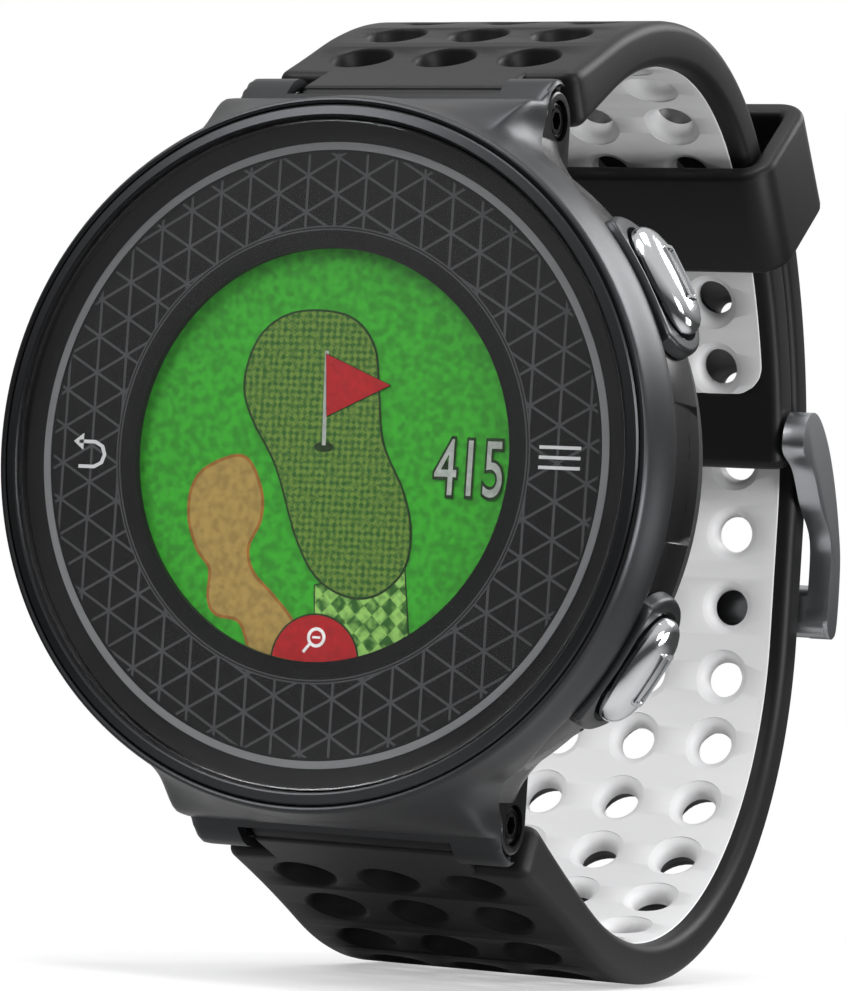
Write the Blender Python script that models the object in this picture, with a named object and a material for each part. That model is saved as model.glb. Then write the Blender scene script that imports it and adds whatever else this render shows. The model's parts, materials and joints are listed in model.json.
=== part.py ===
"""A golf GPS watch on its closed, buckled strap, built piece by piece.

The dial faces -Y, twelve o'clock is +Z and three o'clock is +X. The origin is the
centre of the back cover's flat face. Run with: blender --background --python part.py
"""

import math

import bmesh
import bpy
from mathutils import Matrix, Vector

MM = 0.001

# Case: depths are measured along Y from the back cover's flat face
CASE_DEPTH = 13.6 * MM
RIM_WIDTH = 0.6 * MM
BODY_STEP = 0.5 * MM
BODY_SHOULDER = 4.4 * MM
BODY_BACK = 2.4 * MM
BODY_WALL = 3.2 * MM
SHELL_WALL = 0.85 * MM
SHELL_HEIGHT = 4.2 * MM
SHELL_GAP = 0.25 * MM

# Glass, dial and display
GLASS_RADIUS = 20.6 * MM
GLASS_THICKNESS = 1.0 * MM
GLASS_SETBACK = 0.2 * MM
DIAL_HOLE_RADIUS = 12.7 * MM
DIAL_THICKNESS = 0.6 * MM
ACCENT_INSET = 1.65 * MM
ACCENT_WIDTH = 0.5 * MM
DISPLAY_RADIUS = 14.2 * MM
DISPLAY_THICKNESS = 1.5 * MM
FRAME_WALL = 1.2 * MM
FRAME_FLOOR = 0.5 * MM
FILM = 0.15 * MM

# Inside the case
BOARD_MARGIN = 1.2 * MM
BOARD_THICKNESS = 0.8 * MM
BATTERY_WIDTH = 21.0 * MM
BATTERY_HEIGHT = 15.0 * MM
BATTERY_THICKNESS = 3.8 * MM
BATTERY_DROP = 2.6 * MM
ANTENNA_SIDE = 8.0 * MM
ANTENNA_THICKNESS = 2.4 * MM
SOUNDER_RADIUS = 3.5 * MM
SOUNDER_THICKNESS = 2.2 * MM
SOUNDER_SPREAD = 9.0 * MM
SOUNDER_RISE = 11.2 * MM

# Back cover
COVER_INSET = 1.1 * MM
COVER_THICKNESS = 1.2 * MM
COVER_PAD_RADIUS = 16.0 * MM
COVER_SPIGOT = 1.4 * MM
COVER_SCREW_OUT = 0.95 * MM
COVER_SCREW_RADIUS = 0.4 * MM
COVER_SCREW_HEAD = 0.75 * MM
COVER_SCREW_LENGTH = 3.6 * MM
CONTACT_RADIUS = 0.7 * MM
CONTACT_PITCH = 2.3 * MM
CONTACT_OUT = 12.5 * MM

# Lugs and strap pins
LUG_REACH = 0.5 * MM
PIN_Y = -3.2 * MM
PIN_RADIUS = 1.0 * MM
PIN_LENGTH = 17.6 * MM
LUG_INNER_X = 7.4 * MM
LUG_OUTER_X = 10.6 * MM
LUG_RADIUS = 1.75 * MM
LUG_SKIN = 0.65 * MM
LUG_SCREW_HEAD = 1.2 * MM
LUG_SCREW_SHANK = 0.7 * MM
LUG_SCREW_LENGTH = 3.4 * MM
FLARE_ANGLE = 46.1
LUG_ROOT_DEPTH = 4.0 * MM

# Strap: the mid line leaves each pin straight, then follows arcs to the back of the wrist
STRAP_WIDTH = 21.2 * MM
STRAP_TUBE_RADIUS = 2.0 * MM
STRAP_ROOT = 4.4 * MM
STRAP_TAPER = 15.0 * MM
TAB_LENGTH = 3.3 * MM
UPPER_THICKNESS = 3.0 * MM
LOWER_THICKNESS = 2.7 * MM
LAYER_GAP = 0.4 * MM
UPPER_CREST_DROP = 4.99 * MM
UPPER_STRAIGHT = 9.4 * MM
UPPER_CREST_RADIUS = 27.5 * MM
LOWER_SLOPE = -26.0
LOWER_STRAIGHT = 15.0 * MM
LOWER_CREST_RADIUS = 25.7 * MM
WRIST_Y = 6.1 * MM
WRIST_RADIUS = 35.0 * MM
UPPER_END_ANGLE = 5.8
TAIL_END_ANGLE = 37.0
PATH_STEP = 3.0 * MM

# Perforation and lining
HOLE_RADIUS = 1.6 * MM
COLUMN_PITCH = 5.95 * MM
UPPER_FIRST_ROW = 7.0 * MM
UPPER_ROW_PITCH = 5.2 * MM
UPPER_ROWS = 10
LOWER_FIRST_ROW = 6.5 * MM
PRONG_ROW = 12
ROWS_PAST_PRONG = 4
HOLE_SIDES = 6
LINING_WIDTH = 18.8 * MM
LINING_THICKNESS = 0.6 * MM
LINING_START = 5.0 * MM
LINING_END_MARGIN = 3.0 * MM
UPPER_LINING_STOP = 8.6 * MM

# Keeper and buckle
KEEPER_ANGLE = 38.5
KEEPER_LENGTH = 8.0 * MM
KEEPER_WALL = 1.5 * MM
KEEPER_CORNER = 2.2 * MM
KEEPER_HEADROOM = 0.8 * MM
BAR_ANGLE = 9.1
BAR_RADIUS = 0.75 * MM
BUCKLE_ARM = 1.6 * MM
BUCKLE_REACH = 11.8 * MM
FRONT_BAR_THICKNESS = 2.1 * MM
FRONT_BAR_HEIGHT = 3.8 * MM
PRONG_WIDTH = 1.7 * MM
PRONG_THICKNESS = 0.9 * MM
PRONG_ROW_RISE = -1.1 * MM

# Buttons
BUTTON_ANGLES = {"upper_right": 31.0, "lower_right": -31.5, "upper_left": 149.0}
BUTTON_Y = -6.2 * MM
BUTTON_LENGTH = 7.4 * MM
BUTTON_WIDTH = 4.4 * MM
BUTTON_PROUD = 1.9 * MM
BUTTON_TRAVEL = 0.45 * MM
BUTTON_SHAFT_RADIUS = 0.8 * MM
SPRING_WIRE = 0.1 * MM
SPRING_TURNS = 3
GUARD_THICKNESS = 0.75 * MM
GUARD_MARGIN = 1.3 * MM

# Fits
FIT = 0.1 * MM
GAP = 0.3 * MM
PLAY = 0.3 * MM

# Facets
ROUND = 40
CASE_ROUND = 56
SMALL_ROUND = 12

GLASS_FRONT = -CASE_DEPTH + GLASS_SETBACK
GLASS_BACK = GLASS_FRONT + GLASS_THICKNESS
FILM_FRONT = GLASS_BACK + FIT
DIAL_FRONT = FILM_FRONT + FILM + FIT
DIAL_BACK = DIAL_FRONT + DIAL_THICKNESS
DISPLAY_FRONT = DIAL_BACK + FIT
DISPLAY_BACK = DISPLAY_FRONT + DISPLAY_THICKNESS
FRAME_BACK = DISPLAY_BACK + FIT + FRAME_FLOOR
BOARD_FRONT = FRAME_BACK + GAP
BOARD_BACK = BOARD_FRONT + BOARD_THICKNESS
GLASS_POCKET = GLASS_RADIUS + GAP
RIM_RADIUS = GLASS_POCKET + RIM_WIDTH
BODY_RADIUS = RIM_RADIUS + BODY_STEP
BODY_FLAT = RIM_RADIUS - FIT / 2
BORE_RADIUS = BODY_RADIUS - BODY_WALL
PIN_Z = RIM_RADIUS + LUG_REACH
ACCENT_RADIUS = GLASS_RADIUS - ACCENT_INSET
BOARD_RADIUS = BORE_RADIUS - BOARD_MARGIN
COVER_RADIUS = BODY_RADIUS - COVER_INSET
COVER_SCREW_CIRCLE = BORE_RADIUS + COVER_SCREW_OUT
SHELL_BACK = -CASE_DEPTH + SHELL_HEIGHT
COVER_FRONT = -BODY_BACK + GAP
COVER_BACK = COVER_FRONT + COVER_THICKNESS
HALF_STRAP = STRAP_WIDTH / 2
TAIL_RADIUS = WRIST_RADIUS + UPPER_THICKNESS / 2 + LAYER_GAP + LOWER_THICKNESS / 2
OVER = 1.0 * MM


def clear_scene():
    """Remove every object that the new file starts with."""
    for obj in list(bpy.data.objects):
        bpy.data.objects.remove(obj, do_unlink=True)


def material(name, colour, roughness, metallic=0.0, alpha=1.0):
    """A Principled material of one colour."""
    made = bpy.data.materials.new(name)
    made.use_nodes = True
    shader = made.node_tree.nodes["Principled BSDF"]
    shader.inputs["Base Color"].default_value = (*colour, 1.0)
    shader.inputs["Roughness"].default_value = roughness
    shader.inputs["Metallic"].default_value = metallic
    shader.inputs["Alpha"].default_value = alpha
    return made


def finished(name, bm, mat):
    """Close a bmesh into a named object that shades smooth where it is round."""
    bmesh.ops.remove_doubles(bm, verts=bm.verts, dist=1e-7)
    bmesh.ops.recalc_face_normals(bm, faces=bm.faces)
    mesh = bpy.data.meshes.new(name)
    bm.to_mesh(mesh)
    bm.free()
    obj = bpy.data.objects.new(name, mesh)
    bpy.context.scene.collection.objects.link(obj)
    if mat:
        mesh.materials.append(mat)
    mesh.shade_smooth()
    mesh.set_sharp_from_angle(angle=math.radians(35))
    return obj


def turned(name, profile, mat=None, steps=ROUND, at=(0, 0)):
    """Turn a closed outline of (radius, y) points about a line along Y."""
    bm = bmesh.new()
    points = [bm.verts.new((radius, y, 0)) for radius, y in profile]
    edges = [bm.edges.new((points[i - 1], points[i])) for i in range(len(points))]
    bmesh.ops.spin(
        bm, geom=points + edges, axis=(0, 1, 0), cent=(0, 0, 0),
        steps=steps, angle=math.tau, use_merge=False, use_duplicate=False,
    )
    bmesh.ops.translate(bm, verts=bm.verts, vec=(at[0], 0, at[1]))
    return finished(name, bm, mat)


def add_prism(bm, outline, low, high, axis="X"):
    """Add a prism to a bmesh: an outline in YZ run along X, or one in XZ run along Y."""
    if axis == "X":
        corners = [bm.verts.new((low, a, b)) for a, b in outline]
        run = Vector((high - low, 0, 0))
    else:
        corners = [bm.verts.new((a, low, b)) for a, b in outline]
        run = Vector((0, high - low, 0))
    made = bmesh.ops.extrude_face_region(bm, geom=[bm.faces.new(corners)])
    moved = [part for part in made["geom"] if isinstance(part, bmesh.types.BMVert)]
    bmesh.ops.translate(bm, verts=moved, vec=run)


def prism(name, outline, low, high, mat=None, axis="X"):
    """One prism as an object."""
    bm = bmesh.new()
    add_prism(bm, outline, low, high, axis)
    return finished(name, bm, mat)


def rod_along_x(name, radius, low, high, y, z, mat=None, steps=SMALL_ROUND):
    """A round rod along X."""
    return prism(name, circle(radius, y, z, steps), low, high, mat)


def circle(radius, a=0.0, b=0.0, steps=SMALL_ROUND):
    """Points round a circle in the plane of the outline."""
    turns = [math.tau * i / steps for i in range(steps)]
    return [(a + radius * math.cos(t), b + radius * math.sin(t)) for t in turns]


def box_outline(low_a, high_a, low_b, high_b):
    """The four corners of a box in the plane of the outline."""
    return [(low_a, low_b), (high_a, low_b), (high_a, high_b), (low_a, high_b)]


def rounded_outline(low_a, high_a, low_b, high_b, radius, steps=3):
    """A box with round corners in the plane of the outline."""
    corners = ((high_a - radius, high_b - radius), (low_a + radius, high_b - radius),
               (low_a + radius, low_b + radius), (high_a - radius, low_b + radius))
    points = []
    for quarter, (a, b) in enumerate(corners):
        for i in range(steps + 1):
            turn = math.pi / 2 * (quarter + i / steps)
            points.append((a + radius * math.cos(turn), b + radius * math.sin(turn)))
    return points


def stadium(length, width, steps=6):
    """A slot with round ends, long in the second direction."""
    radius = width / 2
    reach = length / 2 - radius
    points = []
    for centre, start in ((reach, 0.0), (-reach, math.pi)):
        for i in range(steps + 1):
            turn = start + math.pi * i / steps
            points.append((radius * math.cos(turn), centre + radius * math.sin(turn)))
    return points


def combine(obj, tool, operation):
    """Cut a helper from an object, join it on, or keep what both share."""
    modifier = obj.modifiers.new(f"{operation.lower()} {tool.name}", "BOOLEAN")
    modifier.operation = operation
    modifier.object = tool
    tool.hide_render = True
    tool.display_type = "WIRE"


def cut(obj, *tools):
    for tool in tools:
        combine(obj, tool, "DIFFERENCE")


def join(obj, *tools):
    for tool in tools:
        combine(obj, tool, "UNION")


def turn_on_axis(obj, x, y, z):
    """Move an object's origin onto the axis that it turns or slides on."""
    obj.data.transform(Matrix.Translation((-x, -y, -z)))
    obj.location = (x, y, z)


def run_path(start, slope, pieces):
    """Follow straight pieces (length,) and arcs (radius, degrees): (distance, y, z, heading)."""
    y, z = start
    heading = math.radians(slope)
    travelled = 0.0
    stations = [(travelled, y, z, heading)]
    for piece in pieces:
        turn = math.radians(piece[1]) if len(piece) == 2 else 0.0
        length = abs(piece[0] * turn) if turn else piece[0]
        count = max(2, math.ceil(length / PATH_STEP))
        for _ in range(count):
            middle = heading + turn / count / 2
            chord = length / count
            if turn:
                chord = 2 * piece[0] * abs(math.sin(turn / count / 2))
            y += chord * math.cos(middle)
            z += chord * math.sin(middle)
            heading += turn / count
            travelled += length / count
            stations.append((travelled, y, z, heading))
    return stations


def station(path, distance):
    """The point and heading at a distance along a path."""
    for before, after in zip(path, path[1:]):
        if distance <= after[0]:
            share = (distance - before[0]) / (after[0] - before[0])
            return [distance] + [b + share * (a - b) for b, a in zip(before[1:], after[1:])]
    return list(path[-1])


def stretch(path, start, stop):
    """The stations from one distance to another, ends included."""
    inside = [point for point in path if start + 1e-5 < point[0] < stop - 1e-5]
    return [station(path, start)] + inside + [station(path, stop)]


def beside(point, offset):
    """The place that lies an offset to the left of the heading."""
    _, y, z, heading = point
    return (y - offset * math.sin(heading), z + offset * math.cos(heading))


def band(path, start, stop, low, high):
    """A closed outline between two offsets, each a number or a function of the distance."""
    along = stretch(path, start, stop)
    low_side = [beside(point, low(point[0]) if callable(low) else low) for point in along]
    high_side = [beside(point, high(point[0]) if callable(high) else high) for point in along]
    return low_side + high_side[::-1]


def strap_half(thickness):
    """Half the strap's thickness as a function of the distance from its pin."""
    def half(distance):
        share = max(0.0, 1 - distance / STRAP_TAPER)
        return (thickness + (STRAP_ROOT - thickness) * share * share) / 2
    return half


def upper_slope():
    """The slope at which the upper strap leaves its pin to crest at the right height."""
    rise = WRIST_RADIUS - UPPER_CREST_DROP - PIN_Z
    reach = math.hypot(UPPER_CREST_RADIUS, UPPER_STRAIGHT)
    lean = math.atan2(UPPER_STRAIGHT, UPPER_CREST_RADIUS)
    return math.degrees(math.acos((UPPER_CREST_RADIUS - rise) / reach) - lean)


def upper_path():
    """From the upper pin over the crest, then round the wrist to the strap's end."""
    slope = upper_slope()
    rise = math.radians(slope)
    crest_y = PIN_Y + UPPER_STRAIGHT * math.cos(rise) + UPPER_CREST_RADIUS * math.sin(rise)
    crest_z = PIN_Z + UPPER_STRAIGHT * math.sin(rise) + UPPER_CREST_RADIUS * (1 - math.cos(rise))
    offset = crest_y - WRIST_Y
    shoulder = (WRIST_RADIUS**2 - offset**2 - crest_z**2) / (2 * (WRIST_RADIUS - crest_z))
    meet = math.degrees(math.atan2(crest_z - shoulder, offset))
    pieces = [
        (UPPER_STRAIGHT,), (UPPER_CREST_RADIUS, -slope),
        (shoulder, meet - 90), (WRIST_RADIUS, -meet),
    ]
    return run_path((PIN_Y, PIN_Z), slope, pieces)


def lower_path():
    """From the lower pin under the wrist, up the back and outside the upper strap."""
    dip = math.radians(-LOWER_SLOPE)
    bottom_y = PIN_Y + LOWER_STRAIGHT * math.cos(dip) + LOWER_CREST_RADIUS * math.sin(dip)
    bottom_z = LOWER_STRAIGHT * math.sin(dip) + LOWER_CREST_RADIUS * (1 - math.cos(dip)) + PIN_Z
    heel = WRIST_Y + TAIL_RADIUS - bottom_y
    pieces = [
        (LOWER_STRAIGHT,), (LOWER_CREST_RADIUS, -LOWER_SLOPE), (heel, 90),
        (bottom_z - heel,), (TAIL_RADIUS, TAIL_END_ANGLE),
    ]
    return run_path((PIN_Y, -PIN_Z), LOWER_SLOPE, pieces)


def perforation(name, path, rows, odd_row=None):
    """Prisms that pierce the strap in three columns, as one cutter."""
    bm = bmesh.new()
    for index, distance in enumerate(rows):
        point = station(path, distance)
        y, z = beside(point, 0)
        for column in (-1, 0, 1):
            sides = 2 * SMALL_ROUND if index == odd_row and column == 0 else HOLE_SIDES
            place = Matrix.Translation((column * COLUMN_PITCH, y, z))
            place = place @ Matrix.Rotation(point[3], 4, "X")
            bmesh.ops.create_cone(
                bm, cap_ends=True, segments=sides, radius1=HOLE_RADIUS, radius2=HOLE_RADIUS,
                depth=3 * STRAP_ROOT, matrix=place,
            )
    return finished(name, bm, None)


def strap(name, path, side, thickness, stop, rows, lining_stop, mats, odd_row=None):
    """One half of the strap and its lining. side is +1 where the skin is left of the heading."""
    half = strap_half(thickness)
    pin_z = path[0][2]

    def skin(distance):
        return side * half(distance)

    def outside(distance):
        return -side * half(distance)

    def lining_floor(distance):
        return side * (half(distance) - LINING_THICKNESS)

    def pocket_floor(distance):
        return side * (half(distance) - LINING_THICKNESS - FIT)

    def above_skin(distance):
        return side * (half(distance) + OVER)

    body = prism(name, band(path, TAB_LENGTH, stop, outside, skin), -HALF_STRAP, HALF_STRAP, mats[0])
    reach = LUG_INNER_X - GAP
    tab = prism(f"{name}_tab_tool", band(path, 0.0, 2 * TAB_LENGTH, outside, skin), -reach, reach)
    tube = rod_along_x(f"{name}_tube_tool", STRAP_TUBE_RADIUS, -reach + FIT, reach - FIT,
                       PIN_Y, pin_z, steps=2 * SMALL_ROUND)
    pin_hole = rod_along_x(f"{name}_pin_hole_tool", PIN_RADIUS + FIT, -HALF_STRAP, HALF_STRAP, PIN_Y, pin_z)
    half_lining = LINING_WIDTH / 2
    pocket = prism(
        f"{name}_pocket_tool",
        band(path, LINING_START - FIT, lining_stop + FIT, pocket_floor, above_skin),
        -half_lining - FIT, half_lining + FIT,
    )
    holes = perforation(f"{name}_holes_tool", path, rows, odd_row)
    lining = prism(
        f"{name}_lining",
        band(path, LINING_START, lining_stop, lining_floor, skin),
        -half_lining, half_lining, mats[1],
    )
    join(body, tab, tube)
    cut(body, pin_hole, pocket, holes)
    cut(lining, holes)
    for piece in (body, lining):
        turn_on_axis(piece, 0, PIN_Y, pin_z)
    return body


def make_straps(paint):
    """Both halves of the strap with their white linings."""
    path = upper_path()
    total = path[-1][0]
    stop = total - WRIST_RADIUS * math.radians(UPPER_END_ANGLE)
    skin_radius = WRIST_RADIUS - UPPER_THICKNESS / 2
    lining_stop = total - WRIST_RADIUS * math.asin(UPPER_LINING_STOP / skin_radius)
    rows = [UPPER_FIRST_ROW + UPPER_ROW_PITCH * i for i in range(UPPER_ROWS)]
    mats = (paint["silicone_black"], paint["silicone_white"])
    upper = strap("upper_strap", path, -1, UPPER_THICKNESS, stop, rows, lining_stop, mats)
    bar = bar_place()
    slot_half = PRONG_WIDTH / 2 + GAP
    knuckle = BAR_RADIUS + 2 * FIT + PRONG_THICKNESS
    cut(
        upper,
        rod_along_x("bar_hole_tool", BAR_RADIUS + FIT, -HALF_STRAP - OVER, HALF_STRAP + OVER, *bar),
        prism(
            "prong_slot_tool",
            band(path, stop - 2 * knuckle - GAP, stop + OVER, -STRAP_ROOT, STRAP_ROOT),
            -slot_half, slot_half,
        ),
    )

    path = lower_path()
    total = path[-1][0]
    tail = TAIL_RADIUS * math.radians(TAIL_END_ANGLE)
    prong_row = total - tail + PRONG_ROW_RISE
    pitch = (prong_row - LOWER_FIRST_ROW) / PRONG_ROW
    rows = [LOWER_FIRST_ROW + pitch * i for i in range(PRONG_ROW + ROWS_PAST_PRONG + 1)]
    strap("lower_strap", path, 1, LOWER_THICKNESS, total, rows,
          total - LINING_END_MARGIN, mats, PRONG_ROW)


def bar_place():
    """(y, z) of the buckle bar's axis, on the upper strap's mid line."""
    turn = math.radians(BAR_ANGLE)
    return WRIST_Y + WRIST_RADIUS * math.cos(turn), WRIST_RADIUS * math.sin(turn)


def make_keeper(paint):
    """The wide rubber loop round both layers, standing square to the strap."""
    skin = (WRIST_RADIUS - UPPER_THICKNESS / 2) * math.cos(KEEPER_LENGTH / 2 / WRIST_RADIUS)
    low = skin - FIT - GAP / 2
    high = TAIL_RADIUS + LOWER_THICKNESS / 2 + KEEPER_HEADROOM
    side = HALF_STRAP + GAP
    outer_side = side + KEEPER_WALL
    outline = rounded_outline(-outer_side, outer_side, low - KEEPER_WALL, high + KEEPER_WALL, KEEPER_CORNER)
    keeper = prism("strap_keeper", outline, -KEEPER_LENGTH / 2, KEEPER_LENGTH / 2,
                   paint["silicone_black"], "Y")
    window = prism("keeper_window_tool", box_outline(-side, side, low, high),
                   -KEEPER_LENGTH, KEEPER_LENGTH, axis="Y")
    # The loop is drawn upright with its length along Y, then turned round the wrist's centre.
    place = Matrix.Rotation(math.radians(KEEPER_ANGLE - 90), 4, "X")
    for obj in (keeper, window):
        obj.data.transform(place)
        obj.location = (0, WRIST_Y, 0)
    cut(keeper, window)


def make_buckle(paint):
    """Frame, bar and prong, all on the bar's axis."""
    bar_y, bar_z = bar_place()
    tail_y = WRIST_Y + TAIL_RADIUS + LOWER_THICKNESS / 2
    half_front = FRONT_BAR_THICKNESS / 2
    front_y = tail_y + GAP + half_front
    front_z = bar_z - BUCKLE_REACH
    front_low, front_high = front_z - FRONT_BAR_HEIGHT / 2, front_z + FRONT_BAR_HEIGHT / 2
    inner = HALF_STRAP + GAP
    outer = inner + BUCKLE_ARM
    # The arm hooks over the bar, then sweeps out past the strap's tail to the front bar.
    arm = [
        (bar_y - 1.5 * MM, bar_z - 0.9 * MM), (bar_y - 1.7 * MM, bar_z + 0.4 * MM),
        (bar_y - 1.0 * MM, bar_z + 1.7 * MM), (bar_y + 0.3 * MM, bar_z + 2.1 * MM),
        (bar_y + 1.8 * MM, bar_z + 1.5 * MM), (bar_y + 3.6 * MM, bar_z - 0.2 * MM),
        (bar_y + 5.2 * MM, bar_z - 2.6 * MM), (bar_y + 6.6 * MM, bar_z - 5.6 * MM),
        (front_y + half_front, bar_z - 8.4 * MM), (front_y + half_front, front_low + 0.8 * MM),
        (front_y + 0.3 * half_front, front_low), (front_y - 0.5 * half_front, front_low + 0.2 * MM),
        (front_y - half_front, front_low + 1.2 * MM), (front_y - half_front, front_high - 1.2 * MM),
        (front_y - 1.3 * MM, bar_z - 6.6 * MM), (bar_y + 2.6 * MM, bar_z - 4.4 * MM),
        (bar_y + 0.6 * MM, bar_z - 2.0 * MM),
    ]
    frame = prism("buckle_frame", arm, inner, outer, paint["steel"])
    other_arm = prism("buckle_arm_tool", arm, -outer, -inner)
    front = prism(
        "buckle_front_tool",
        rounded_outline(front_y - half_front + FIT / 4, front_y + half_front - FIT / 4,
                        front_low + FIT / 4, front_high, 0.8 * half_front),
        -inner - OVER, inner + OVER,
    )
    join(frame, front, other_arm)
    notch_half = PRONG_WIDTH / 2 + GAP
    notch_floor = front_high - 1.8 * MM
    notch = prism(
        "buckle_notch_tool",
        box_outline(front_y - 2 * half_front, front_y + 2 * half_front, notch_floor, front_high + OVER),
        -notch_half, notch_half,
    )
    bar_end = outer - 0.4 * MM
    bar_hole = rod_along_x("frame_bar_hole_tool", BAR_RADIUS + FIT, -bar_end - FIT, bar_end + FIT, bar_y, bar_z)
    cut(frame, notch, bar_hole)
    bar = rod_along_x("buckle_bar", BAR_RADIUS, -bar_end, bar_end, bar_y, bar_z, paint["steel"])

    hole_y = WRIST_Y + TAIL_RADIUS
    tail_half = LOWER_THICKNESS / 2
    centre_line = [
        (bar_y + 0.3 * MM, bar_z - BAR_RADIUS), (bar_y + 0.9 * MM, bar_z - 3.2 * MM),
        (hole_y - tail_half - 0.3 * MM, PRONG_ROW_RISE + 0.8 * MM),
        (hole_y + tail_half + 0.4 * MM, PRONG_ROW_RISE - 0.5 * MM),
        (front_y + 0.1 * MM, notch_floor + 1.0 * MM),
    ]
    prong = prism("buckle_prong", ribbon(centre_line, PRONG_THICKNESS / 2),
                  -PRONG_WIDTH / 2, PRONG_WIDTH / 2, paint["steel"])
    join(prong, rod_along_x("prong_knuckle_tool", BAR_RADIUS + FIT + PRONG_THICKNESS,
                            -PRONG_WIDTH / 2 + FIT / 2, PRONG_WIDTH / 2 - FIT / 2, bar_y, bar_z))
    cut(prong, rod_along_x("prong_bore_tool", BAR_RADIUS + FIT, -PRONG_WIDTH, PRONG_WIDTH, bar_y, bar_z))
    for piece in (frame, bar, prong):
        turn_on_axis(piece, 0, bar_y, bar_z)


def ribbon(points, half):
    """A closed outline of even thickness along a bent line."""
    left, right = [], []
    for i, point in enumerate(points):
        before = Vector(points[max(i - 1, 0)])
        after = Vector(points[min(i + 1, len(points) - 1)])
        along = (after - before).normalized()
        normal = Vector((-along.y, along.x)) * half
        left.append(tuple(Vector(point) + normal))
        right.append(tuple(Vector(point) - normal))
    return left + right[::-1]


def lug_outline(side, radius, root, root_front):
    """A lug seen from the side: a round end about the pin, rooted in the case."""
    outline = [(PIN_Y + radius, side * root)]
    for i in range(9):
        a, b = polar(radius, 22.5 * i)
        outline.append((PIN_Y + a, side * (PIN_Z + b)))
    outline.append((root_front, side * root))
    return outline


def strap_bay(name, extra):
    """Room between the lugs for the strap's tube and its swing, top and bottom."""
    bm = bmesh.new()
    room = STRAP_TUBE_RADIUS + extra
    for side in (1, -1):
        outline = [(CASE_DEPTH, side * 2 * PIN_Z), (PIN_Y - room, side * 2 * PIN_Z)]
        for i in range(7):
            turn = math.radians(180 + 15 * i)
            outline.append((PIN_Y + room * math.cos(turn), side * (PIN_Z + room * math.sin(turn))))
        outline.append((CASE_DEPTH, side * (PIN_Z - room)))
        add_prism(bm, outline, -LUG_INNER_X, LUG_INNER_X)
    return finished(name, bm, None)


def lug_holes(name):
    """Bores for the strap pins and counterbores for their screws."""
    bm = bmesh.new()
    for side in (1, -1):
        add_prism(bm, circle(PIN_RADIUS + FIT, PIN_Y, side * PIN_Z),
                  -PIN_LENGTH / 2 - GAP - FIT, PIN_LENGTH / 2 + GAP + FIT)
    bore = finished(f"{name}_bore", bm, None)
    bm = bmesh.new()
    seat = PIN_LENGTH / 2 + 3 * FIT
    for side in (1, -1):
        for hand in (1, -1):
            low, high = sorted((hand * seat, hand * (LUG_OUTER_X + OVER)))
            add_prism(bm, circle(LUG_SCREW_HEAD + FIT, PIN_Y, side * PIN_Z), low, high)
    return bore, finished(f"{name}_seat", bm, None)


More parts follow.
